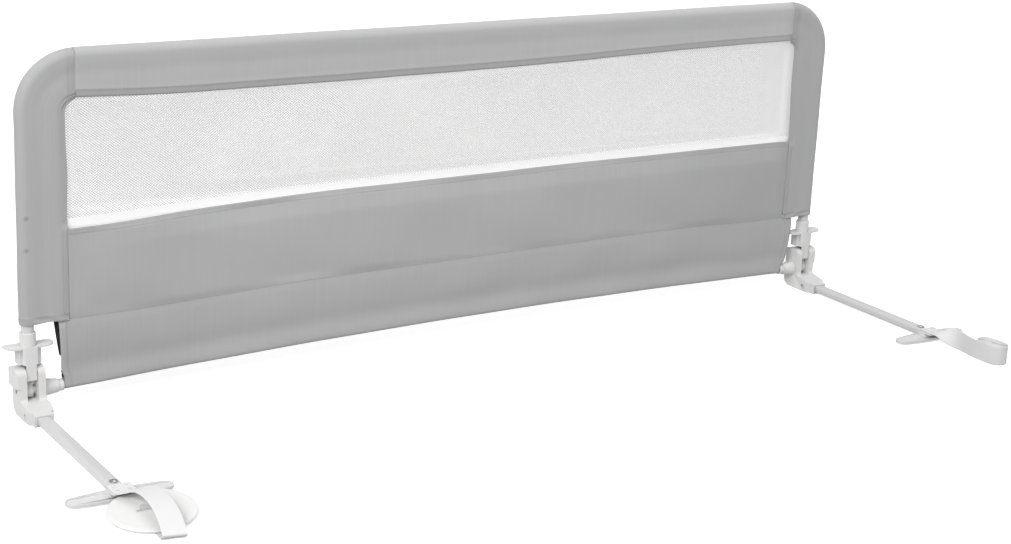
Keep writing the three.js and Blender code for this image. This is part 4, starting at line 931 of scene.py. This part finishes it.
def net_material(nodes, colour, pitch):
    """Knitted net: two slanting sets of threads that cross at knots, with open holes between them. The holes
    are wider than they are high. As in the photo, they stand out less towards the right: the mask is mixed
    with the even share that the threads cover."""
    uv = nodes.place("UV")
    place = nodes.add("SeparateXYZ", {"Vector": uv})
    across, upward = place.outputs[0], nodes.maths("MULTIPLY", place.outputs[1], 1.3)
    masks = []
    for operation in ("ADD", "SUBTRACT"):
        slant = nodes.maths("MULTIPLY", nodes.maths(operation, across, upward), 1 / pitch)
        masks.append(nodes.maths("LESS_THAN", nodes.maths("PINGPONG", slant, 0.5), NET_THREAD))
    threads = nodes.maths("MAXIMUM", *masks)
    contrast = nodes.add("Clamp", {
        "Value": nodes.maths("MULTIPLY_ADD", across, -0.4, 0.38), "Min": 0.1, "Max": 0.7}).outputs[0]
    inputs = {"Factor": contrast, "A": NET_COVER, "B": threads}
    cover = nodes.add("Mix", inputs, data_type="FLOAT").outputs[0]
    tone = nodes.mix(nodes.noise(uv, 30.0, 3.0), shade(colour, 0.94), shade(colour, 1.04))
    normal = nodes.bumped(nodes.maths("ADD", threads, nodes.maths("MULTIPLY", *masks)), 0.0002, 0.7)
    shader = nodes.principled(tone, 0.6, normal, Sheen_Weight=0.2, Specular_IOR_Level=0.3)
    through = nodes.add("BsdfTranslucent", {"Color": tone}).outputs[0]
    soft = nodes.add("MixShader", {0: 0.3, 1: shader, 2: through}).outputs[0]
    clear = nodes.add("BsdfTransparent").outputs[0]
    return nodes.add("MixShader", {0: cover, 1: clear, 2: soft}).outputs[0]


def tape_material(nodes, colour, through):
    """Woven white binding: close ribs across its run, a soft sheen, and painted light: an even white glow
    that stands in for the light that comes through it from behind."""
    uv = nodes.place("UV")
    tone = nodes.mix(nodes.noise(uv, 60.0, 3.0), shade(colour, 0.96), shade(colour, 1.03))
    normal = nodes.bumped(woven(nodes, uv, TAPE_WEAVE), 0.0001, 0.6)
    # The emission is painted light: an even white glow for the light that comes through the tape
    return nodes.principled(tone, 0.55, normal, Sheen_Weight=0.15, Specular_IOR_Level=0.35,
                            Emission_Color=WHITE, Emission_Strength=through)


def webbing_material(nodes, colour):
    """Flat webbing: a herringbone of slanting ribs that turn at the band's middle lines."""
    uv = nodes.place("UV")
    place = nodes.add("SeparateXYZ", {"Vector": uv})
    zigzag = nodes.maths("PINGPONG", place.outputs[0], HERRING_WIDTH)
    slant = nodes.maths("ADD", place.outputs[1], nodes.maths("MULTIPLY", zigzag, 0.8))
    rib = nodes.maths("SINE", nodes.maths("MULTIPLY", slant, 2 * pi / RIB_PITCH))
    uneven = nodes.noise(uv, 45.0, 4.0, 0.6)
    tone = nodes.mix(nodes.maths("MULTIPLY_ADD", rib, 0.12, 0.5), shade(colour, 0.93), shade(colour, 1.04))
    tone = nodes.mix(nodes.maths("MULTIPLY", uneven, 0.3), tone, shade(colour, 0.95))
    normal = nodes.bumped(uneven, 0.0008, 0.2, nodes.bumped(rib, 0.00012, 0.7))
    return nodes.principled(tone, 0.62, normal, Sheen_Weight=0.25, Specular_IOR_Level=0.3)


def hook_material(nodes, colour):
    """Hook tape: rows of small dark hooks on a dark band."""
    uv = nodes.place("UV")
    lint = nodes.noise(uv, 700.0, 2.0)
    tone = nodes.mix(lint, shade(colour, 0.6), shade(colour, 1.9))
    normal = nodes.bumped(nodes.maths("ADD", woven(nodes, uv, HOOK_WEAVE), lint), 0.0006, 0.9)
    return nodes.principled(tone, 0.85, normal)


def moulded_material(nodes, colour):
    """Moulded plastic: a fine grained skin, slight blotches, and edges that catch the light."""
    place = nodes.place("Object")
    cloud = nodes.noise(place, 14.0, 4.0, 0.55)
    skin = nodes.noise(place, 1800.0, 2.0, 0.6)
    scuff = nodes.noise(nodes.stretched(place, 60, 220, 90), 1.0, 6.0, 0.7)
    tone = nodes.mix(cloud, shade(colour, 0.975), shade(colour, 1.02))
    tone = nodes.mix(nodes.maths("MULTIPLY", scuff, 0.12), tone, shade(colour, 0.9))
    gloss = nodes.maths("MULTIPLY_ADD", scuff, 0.18, 0.33)
    normal = nodes.bumped(skin, 0.00005, 0.5, nodes.rounded(0.0006))
    return nodes.principled(tone, gloss, normal, IOR=1.49, Subsurface_Weight=0.04, Subsurface_Scale=0.002)


def painted_material(nodes, colour):
    """Powder-coated steel: a smooth coat with a shallow orange-peel surface."""
    place = nodes.place("Object")
    peel = nodes.noise(place, 620.0, 2.0, 0.4)
    cloud = nodes.noise(nodes.stretched(place, 20, 6, 20), 1.0, 4.0)
    tone = nodes.mix(cloud, shade(colour, 0.975), shade(colour, 1.02))
    normal = nodes.bumped(peel, 0.00006, 0.5, nodes.rounded(0.0005))
    gloss = nodes.maths("MULTIPLY_ADD", cloud, 0.12, 0.28)
    return nodes.principled(tone, gloss, normal, Coat_Weight=0.25, Coat_Roughness=0.2)


def plated_material(nodes, colour):
    """Zinc-plated steel: bright metal with turned marks and dull patches."""
    place = nodes.place("Object")
    patch = nodes.noise(place, 260.0, 5.0, 0.6)
    marks = nodes.noise(nodes.stretched(place, 300, 300, 2600), 1.0, 2.0)
    tone = nodes.mix(patch, shade(colour, 0.75), shade(colour, 1.15))
    normal = nodes.bumped(marks, 0.00004, 0.5, nodes.rounded(0.0003))
    gloss = nodes.maths("MULTIPLY_ADD", patch, 0.2, 0.25)
    return nodes.principled(tone, gloss, normal, Metallic=1.0)


def thread_material(nodes, colour):
    """Sewing thread: twisted, slightly shiny."""
    twist = nodes.noise(nodes.place("Object"), 2400.0, 2.0)
    tone = nodes.mix(twist, shade(colour, 0.85), shade(colour, 1.1))
    return nodes.principled(tone, 0.55, nodes.bumped(twist, 0.0001, 0.6), Sheen_Weight=0.2)


def finish(name, maker, colour, *values):
    """One material of each finish, made when it is first asked for. Its own ending keeps it apart from the
    frame's plain material of the same slot."""
    label = f"{name}_finish"
    found = bpy.data.materials.get(label)
    if found:
        return found
    nodes = Nodes(bpy.data.materials.new(label))
    return nodes.done(maker(nodes, tuple(colour), *values))


# Settings

class GuardRailSizes(bpy.types.PropertyGroup):
    """Sizes of the cover that a user would change"""

    cloth_thickness: FloatProperty(
        name="Cloth thickness", description="Thickness of the woven cover", default=0.0008, min=0.0003,
        max=0.0009, unit="LENGTH", precision=4)
    seam_depth: FloatProperty(
        name="Seam depth", description="How far the cloth dips at its seams and folds", default=0.001,
        min=0.0002, max=0.0014, unit="LENGTH", precision=4)
    stitch_pitch: FloatProperty(
        name="Stitch length", description="Distance from one stitch to the next", default=0.0034,
        min=0.002, max=0.006, unit="LENGTH", precision=4)
    thread: FloatProperty(
        name="Thread", description="Diameter of the sewing thread", default=0.0005, min=0.0002, max=0.001,
        unit="LENGTH", precision=4)
    net_pitch: FloatProperty(
        name="Net pitch", description="Distance between the threads of the net, along the rail",
        default=0.005, min=0.001, max=0.008, unit="LENGTH", precision=4)


class GuardRailColours(bpy.types.PropertyGroup):
    """Colours of the pieces"""

    cloth: FloatVectorProperty(
        name="Cover", description="Side bands, panels and flap", subtype="COLOR", size=3, min=0, max=1,
        default=(0.42, 0.42, 0.423))
    band: FloatVectorProperty(
        name="Top band", description="Cloth over the top tube", subtype="COLOR", size=3, min=0, max=1,
        default=(0.475, 0.475, 0.479))
    net: FloatVectorProperty(
        name="Net", description="Window net", subtype="COLOR", size=3, min=0, max=1,
        default=(0.54, 0.54, 0.54))
    binding: FloatVectorProperty(
        name="Binding", description="Tape round the window", subtype="COLOR", size=3, min=0, max=1,
        default=(0.95, 0.95, 0.95))
    plastic: FloatVectorProperty(
        name="Plastic", description="Hinges, collars and feet", subtype="COLOR", size=3, min=0, max=1,
        default=(0.665, 0.665, 0.66))
    paint: FloatVectorProperty(
        name="Painted steel", description="Arms and frame tubes", subtype="COLOR", size=3, min=0, max=1,
        default=(0.585, 0.585, 0.585))
    webbing: FloatVectorProperty(
        name="Webbing", description="Straps", subtype="COLOR", size=3, min=0, max=1,
        default=(0.715, 0.715, 0.715))
    # Painted light: the disc is set lighter than the plastic of the other mouldings, which evens out the
    # shade that the strap casts on it
    disc: FloatVectorProperty(
        name="Disc", description="Anchor disc", subtype="COLOR", size=3, min=0, max=1,
        default=(0.75, 0.75, 0.745))
    metal: FloatVectorProperty(
        name="Plated steel", description="Screws, nuts and springs", subtype="COLOR", size=3, min=0, max=1,
        default=(0.5, 0.5, 0.51))
    hook: FloatVectorProperty(
        name="Hook tape", description="Closing tape in the flap", subtype="COLOR", size=3, min=0, max=1,
        default=(0.035, 0.035, 0.035))


def sizes():
    return bpy.context.scene.guard_rail_sizes


def colours():
    return bpy.context.scene.guard_rail_colours


# Operators

class RAIL_OT_side_bands(bpy.types.Operator):
    """Sew the two side bands that cover the legs and the bends"""

    bl_idname = "guard_rail.side_bands"
    bl_label = "Side bands"

    def execute(self, context):
        cloth = finish("grey_cloth", cloth_material, colours().cloth)
        marks = (0, BAND_HEM_LINE, *(height - HEM_Z for height in BUTTON_MARKS), SIDE_BAND_PATH)
        along = stations(0, SIDE_BAND_PATH, 3.0, marks=marks, fine=1.0)
        flat = stations(0, BAND_WIDTH, 2.6, marks=(0, BAND_EDGE_LINE), fine=0.8, reach=3.0) / BAND_WIDTH
        across = tube_columns(flat, 27)
        a, b = grid(along, across)
        for side, hand in (("left", -1), ("right", 1)):
            cloth_sheet(
                f"{side}_side_band", side_band_form(hand), along, across, cloth, "grey_cloth",
                uv=np.stack([unrolled(b, BAND_WIDTH), a], -1), flat=(0.17, 0.43), area=0.0640,
                held="stretched", rests_on=[f"{side}_leg_tube", f"{side}_corner_tube"])
        return {"FINISHED"}


class RAIL_OT_top_band(bpy.types.Operator):
    """Sew the band that lies over the top tube"""

    bl_idname = "guard_rail.top_band"
    bl_label = "Top band"

    def execute(self, context):
        cloth = finish("pale_grey_cloth", cloth_material, colours().band)
        ends = (-TOP_BAND_HALF, TOP_BAND_HALF)
        along = stations(*ends, 5.0, marks=ends, fine=1.0)
        flat = stations(0, TOP_BAND_DROP, 2.8, marks=(0, 10.5), fine=0.8, reach=3.0) / TOP_BAND_DROP
        across = tube_columns(flat, 27)
        a, b = grid(along, across)
        cloth_sheet(
            "top_band", top_band_form, along, across, cloth, "pale_grey_cloth",
            uv=np.stack([a, unrolled(b, TOP_BAND_DROP)], -1), flat=(1.3274, 0.166), held="stretched",
            rests_on=["top_tube"])
        return {"FINISHED"}


class RAIL_OT_panels(bpy.types.Operator):
    """Sew the front and the back panel under the window"""

    bl_idname = "guard_rail.panels"
    bl_label = "Lower panels"

    def execute(self, context):
        cloth = finish("grey_cloth", cloth_material, colours().cloth)
        ends = (-PANEL_HALF, PANEL_HALF)
        along = stations(*ends, 5.0, marks=ends, fine=0.9)
        across = stations(0, 1, 4 / PANEL_HEIGHT, marks=(0, 1 - PANEL_LINE / PANEL_HEIGHT, 1),
                          fine=0.9 / PANEL_HEIGHT, reach=4 / PANEL_HEIGHT)
        for name, side in (("front_panel", -1), ("back_panel", 1)):
            cloth_sheet(name, panel_form(side), along, across, cloth, "grey_cloth", flat=(1.36, 0.141),
                        area=0.191, held="stretched", rests_on=[])
        return {"FINISHED"}


class RAIL_OT_flap(bpy.types.Operator):
    """Hang the flap that goes round the crossbar"""

    bl_idname = "guard_rail.flap"
    bl_label = "Lower flap"

    def execute(self, context):
        cloth = finish("grey_cloth", cloth_material, colours().cloth)
        line = FLAP_HALF - FLAP_LINE
        along = stations(-FLAP_HALF, FLAP_HALF, 5.0, marks=(-line, line), fine=0.8)
        flat = stations(0, 1, 3.4 / FLAP_HEIGHT, marks=(0,), fine=0.9 / FLAP_HEIGHT, reach=4 / FLAP_HEIGHT)
        cloth_sheet(
            "lower_flap", flap_form, along, tube_columns(flat, 21), cloth, "grey_cloth", flat=(1.388, 0.22),
            area=0.300, held="hung", rests_on=["crossbar"])
        return {"FINISHED"}


class RAIL_OT_nets(bpy.types.Operator):
    """Stretch the two window nets and sew their white bindings to them"""

    bl_idname = "guard_rail.nets"
    bl_label = "Nets and bindings"

    def execute(self, context):
        net = finish("white_mesh", net_material, colours().net, sizes().net_pitch)
        end = WINDOW_HALF + SEWN_IN
        along = stations(-end, end, 6.0, marks=(-end, end), fine=2.0, reach=14)
        across = stations(0, 1, 6 / 180, marks=(0, 1), fine=2 / 180, reach=14 / 180)
        for name, side in (("front_mesh", -1), ("back_mesh", 1)):
            sheet_piece(f"{name}_net", net_form(side)(*grid(along, across)), net, [name], "white_mesh",
                        flat=(1.363, 0.186), held="stretched", rests_on=["top_band_cloth"])

        tape = finish("white_frame_tape", tape_material, colours().binding, FRAME_GLOW)
        long_leg, short_leg = (np.linspace(0, 1, count, endpoint=False) for count in (220, 30))
        along = np.concatenate([long_leg, 1 + short_leg, 2 + long_leg, 3 + short_leg])
        points = frame_tape_form(*grid(along, np.linspace(0, 1, 6)))
        uv = points[..., [0, 2]]
        sheet_piece("window_tape_binding", points, tape, ["window_tape"], "white_mesh",
                    uv=np.vstack([uv, uv[:1]]), wall=0.0005, closed=(True, False), flat=(0.012, 3.07),
                    held="stretched", rests_on=["back_mesh_net"])

        strip = finish("white_strip", tape_material, colours().binding, STRIP_GLOW)
        points = strip_form(*grid(stations(-end, end, 6.0), np.linspace(0, 1, 7)))
        sheet_piece("front_window_binding", points, strip, (), "white_mesh", flat=(1.362, 0.017),
                    held="stretched", rests_on=["front_mesh_net"])
        return {"FINISHED"}


class RAIL_OT_closing_tape(bpy.types.Operator):
    """Sew the dark closing tape inside the flap's open end"""

    bl_idname = "guard_rail.closing_tape"
    bl_label = "Closing tape"

    def execute(self, context):
        dark = finish("black_hook_tape", hook_material, colours().hook)
        points = closing_tape_form(*grid(np.linspace(0, 1, 90), np.linspace(0, 1, 22)))
        sheet_piece("closing_tape_hooks", points, dark, ["closure_tape"], "black_hook_tape", wall=0.0008,
                    flat=(0.03, 0.0925), area=0.0019, held="stretched", rests_on=["lower_flap_cloth"])
        return {"FINISHED"}


class RAIL_OT_stitching(bpy.types.Operator):
    """Sew the stitched lines of the cover"""

    bl_idname = "guard_rail.stitching"
    bl_label = "Stitching"

    def execute(self, context):
        round_piece = np.linspace(0.01, 2.99, 400)
        for side, hand in (("left", -1), ("right", 1)):
            form = side_band_form(hand)
            upward = np.linspace(1, BEND_Z - HEM_Z + 96, 500)
            turn, axis_z = band_line(upward)
            inner = BEND - np.maximum(corner_radius(turn, hand), LEAST_EDGE / np.cos(turn))
            share = BAND_EDGE_LINE / np.where(turn > 0, inner, band_width(axis_z, hand))
            hem = np.full_like(round_piece, BAND_HEM_LINE)
            self.sew(f"{side}_side_band", (form, upward, share), (form, upward, 3 - share),
                     (form, hem, round_piece))
        x = np.linspace(-TOP_BAND_HALF + 1, TOP_BAND_HALF - 1, 700)
        share = TOP_BAND_LINE / (TOP_AXIS - window_top(x))
        self.sew("top_band", (top_band_form, x, share), (top_band_form, x, 3 - share))
        x = np.linspace(4 - WINDOW_HALF, WINDOW_HALF - 4, 700)
        for name, side in (("front_panel", -1), ("back_panel", 1)):
            rise = window_bottom(x, side) - crease_height(x) - 0.05
            self.sew(name, (panel_form(side), x, 1 - PANEL_LINE / rise))
        line = np.full_like(round_piece, FLAP_HALF - FLAP_LINE)
        self.sew("lower_flap", (flap_form, -line, round_piece), (flap_form, line, round_piece))
        return {"FINISHED"}

    def sew(self, name, *lines):
        """Stitches along lines, each given as a form and its two parameters."""
        thread = finish("grey_thread", thread_material, shade(tuple(colours().cloth), 1.02))
        label = f"{name}_stitches"
        mesh = stitches_mesh(label, [stitch_line(*line) for line in lines], sizes().stitch_pitch / MM,
                             sizes().thread / MM)
        piece(label, mesh, thread, "rail", ())


class RAIL_OT_straps(bpy.types.Operator):
    """Lay the two webbing straps"""

    bl_idname = "guard_rail.straps"
    bl_label = "Straps"

    def execute(self, context):
        webbing = finish("white_webbing", webbing_material, colours().webbing)
        for name, path, support in (("left_strap", left_strap_path, "anchor_disc_moulding"),
                                    ("right_strap", right_strap_path, "right_foot")):
            mesh, length = webbing_mesh(f"{name}_webbing", *path())
            obj = piece(f"{name}_webbing", mesh, webbing, "base", [name])
        return {"FINISHED"}


class RAIL_OT_disc(bpy.types.Operator):
    """Mould the slotted anchor disc"""

    bl_idname = "guard_rail.disc"
    bl_label = "Anchor disc"

    def execute(self, context):
        # A lighter copy of the white plastic: painted light against the strap's shade
        plastic = finish("white_disc", moulded_material, colours().disc)
        name = "anchor_disc_moulding"
        piece(name, disc_mesh(name), plastic, "base", ["anchor_disc"])
        return {"FINISHED"}


class RAIL_OT_mouldings(bpy.types.Operator):
    """Finish the moulded pieces: brackets, sockets, posts, collars, caps, feet and rivets"""

    bl_idname = "guard_rail.mouldings"
    bl_label = "Moulded pieces"

    def execute(self, context):
        plastic = finish("white_plastic", moulded_material, colours().plastic)
        kinds = ("hinge_bracket", "crossbar_socket", "foot", "hinge_post", "pivot_spacer", "lock_collar",
                 "crossbar_cap", "strap_rivet_1", "strap_rivet_2", "strap_rivet_3", "strap_rivet_4")
        for side in ("left", "right"):
            for kind in kinds:
                merged_copy(f"{side}_{kind}", "moulding", plastic)
        return {"FINISHED"}


class RAIL_OT_steelwork(bpy.types.Operator):
    """Finish the painted tubes and the plated screws, nuts, springs and buttons"""

    bl_idname = "guard_rail.steelwork"
    bl_label = "Steelwork"

    def execute(self, context):
        paint = finish("white_steel", painted_material, colours().paint)
        plated = finish("zinc_steel", plated_material, colours().metal)
        for side in ("left", "right"):
            for kind in ("arm_tube", "leg_tube", "corner_tube"):
                merged_copy(f"{side}_{kind}", "painted", paint)
        for node in ("top_tube", "crossbar"):
            merged_copy(node, "painted", paint)
        for side in ("left", "right"):
            for kind in ("pivot_bolt", "pivot_nut", "arm_screw", "foot_screw", "lock_spring",
                         "leg_connector", "lower_button", "upper_button"):
                merged_copy(f"{side}_{kind}", "plated", plated)
            self.compress(side)
        return {"FINISHED"}

    def compress(self, side):
        """Gives the lock spring its own copy of its mesh."""
        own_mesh(bpy.data.objects[f"{side}_lock_spring_plated"])


# Each lamp's name, place, diameter and power
LAMPS = (
    ("key", (-3.2, -1.9, 2.6), 2.4, 120.0), ("overhead", (0.5, -0.6, 3.4), 3.2, 40.0),
    ("fill", (2.8, -2.6, 1.6), 2.4, 10.0), ("back", (0.4, 3.0, 2.6), 3.0, 15.0),
)
LAMP_AIM = Vector((0, 0, 0.25))
FLOOR_REACH = 40
FLOOR_GLOW = 0.55
SKY_LIGHT, SKY_SEEN = 0.58, 1.0
CAMERA_PLACE = (-1.6138, -2.2850, 1.0372)
CAMERA_FORWARD, CAMERA_UP = Vector((0.5332, 0.794, -0.2919)), Vector((0.1228, 0.2687, 0.9554))
CAMERA_LENS = 67.775


class RAIL_OT_studio(bpy.types.Operator):
    """Set the floor, the soft lights, the pale world and the camera"""

    bl_idname = "guard_rail.studio"
    bl_label = "Studio"

    def execute(self, context):
        scene = context.scene
        self.floor(scene)
        self.lights(scene)
        self.world(scene)
        self.camera(scene)
        scene.view_settings.view_transform = "Standard"
        return {"FINISHED"}

    def floor(self, scene):
        """A wide square at z = 0. The camera sees its own light added to the lit floor, so that it is white
        where no shadow falls. To the object's underside it is a darker grey, so that shapes keep contrast."""
        nodes = Nodes(bpy.data.materials.new("pale_floor"))
        tone = nodes.mix(nodes.noise(nodes.place("Object"), 0.8, 2.0), (0.78, 0.78, 0.78), (0.8, 0.8, 0.8))
        matt = nodes.add("BsdfDiffuse", {"Color": tone, "Roughness": 0.6}).outputs[0]
        glow = nodes.add("Emission", {"Color": WHITE, "Strength": FLOOR_GLOW}).outputs[0]
        lit = nodes.add("AddShader", {0: matt, 1: glow}).outputs[0]
        path = nodes.add("LightPath").outputs
        seen = nodes.maths("MAXIMUM", path["Is Glossy Ray"], path["Is Transmission Ray"])
        seen = nodes.maths("MAXIMUM", path["Is Camera Ray"], seen)
        dim = nodes.add("BsdfDiffuse", {"Color": (0.5, 0.5, 0.5, 1), "Roughness": 0.6}).outputs[0]
        nodes.done(nodes.add("MixShader", {0: seen, 1: dim, 2: lit}).outputs[0])
        across = np.linspace(-FLOOR_REACH, FLOOR_REACH, 17) / MM
        x, y = grid(across, across)
        mesh = grid_mesh("floor", np.stack([x, y, np.zeros_like(x)], -1))
        floor = bpy.data.objects.new("floor", mesh)
        mesh.materials.append(nodes.owner)
        scene.collection.objects.link(floor)

    def lights(self, scene):
        """Large soft lamps: the key high on the left, one overhead, a weak fill on the right, one behind."""
        for name, place, size, power in LAMPS:
            lamp = bpy.data.lights.new(name, "AREA")
            lamp.shape = "DISK"
            lamp.size, lamp.energy = size, power
            obj = bpy.data.objects.new(name, lamp)
            obj.location = place
            obj.rotation_euler = (LAMP_AIM - Vector(place)).to_track_quat("-Z", "Y").to_euler()
            scene.collection.objects.link(obj)

    def world(self, scene):
        """An even pale sky, seen as white and lighting the object a little less."""
        nodes = Nodes(bpy.data.worlds.new("pale_sky"), "OutputWorld")
        path = nodes.add("LightPath").outputs
        seen = nodes.maths("MAXIMUM", path["Is Camera Ray"], path["Is Transmission Ray"])
        level = nodes.add("MapRange", {"Value": seen, "To Min": SKY_LIGHT, "To Max": SKY_SEEN}).outputs[0]
        scene.world = nodes.done(nodes.add("Background", {"Color": WHITE, "Strength": level}).outputs[0])

    def camera(self, scene):
        """The camera stands to the left in front of the rail, a metre above the floor."""
        forward = CAMERA_FORWARD.normalized()
        right = forward.cross(CAMERA_UP).normalized()
        up = right.cross(forward)
        lens = bpy.data.cameras.new("camera")
        lens.lens, lens.sensor_width, lens.sensor_fit = CAMERA_LENS, 36.0, "HORIZONTAL"
        lens.clip_end = 100
        camera = bpy.data.objects.new("camera", lens)
        turn = Matrix((right, up, -forward)).transposed().to_4x4()
        camera.matrix_world = Matrix.Translation(CAMERA_PLACE) @ turn
        scene.collection.objects.link(camera)
        scene.camera = camera


class RAIL_PT_sidebar(bpy.types.Panel):
    """Guard rail tools in the 3D view's sidebar"""

    bl_idname = "RAIL_PT_sidebar"
    bl_label = "Guard rail"
    bl_space_type = "VIEW_3D"
    bl_region_type = "UI"
    bl_category = "Guard rail"

    def draw(self, context):
        for settings in (context.scene.guard_rail_sizes, context.scene.guard_rail_colours):
            box = self.layout.box()
            for name in settings.__annotations__:
                box.prop(settings, name)
        for operator in OPERATORS:
            self.layout.operator(operator.bl_idname)


OPERATORS = (
    RAIL_OT_studio, RAIL_OT_side_bands, RAIL_OT_top_band, RAIL_OT_panels, RAIL_OT_flap, RAIL_OT_nets,
    RAIL_OT_closing_tape, RAIL_OT_stitching, RAIL_OT_straps, RAIL_OT_disc, RAIL_OT_mouldings,
    RAIL_OT_steelwork,
)
CLASSES = (GuardRailSizes, GuardRailColours, *OPERATORS, RAIL_PT_sidebar)


def register():
    for kind in CLASSES:
        bpy.utils.register_class(kind)
    bpy.types.Scene.guard_rail_sizes = PointerProperty(type=GuardRailSizes)
    bpy.types.Scene.guard_rail_colours = PointerProperty(type=GuardRailColours)


def unregister():
    del bpy.types.Scene.guard_rail_colours
    del bpy.types.Scene.guard_rail_sizes
    for kind in reversed(CLASSES):
        bpy.utils.unregister_class(kind)


def main():
    register()
    bpy.ops.guard_rail.studio()
    bpy.ops.guard_rail.side_bands()
    bpy.ops.guard_rail.top_band()
    bpy.ops.guard_rail.panels()
    bpy.ops.guard_rail.flap()
    bpy.ops.guard_rail.nets()
    bpy.ops.guard_rail.closing_tape()
    bpy.ops.guard_rail.stitching()
    bpy.ops.guard_rail.disc()
    bpy.ops.guard_rail.straps()
    bpy.ops.guard_rail.mouldings()
    bpy.ops.guard_rail.steelwork()


if __name__ == "__main__":
    main()
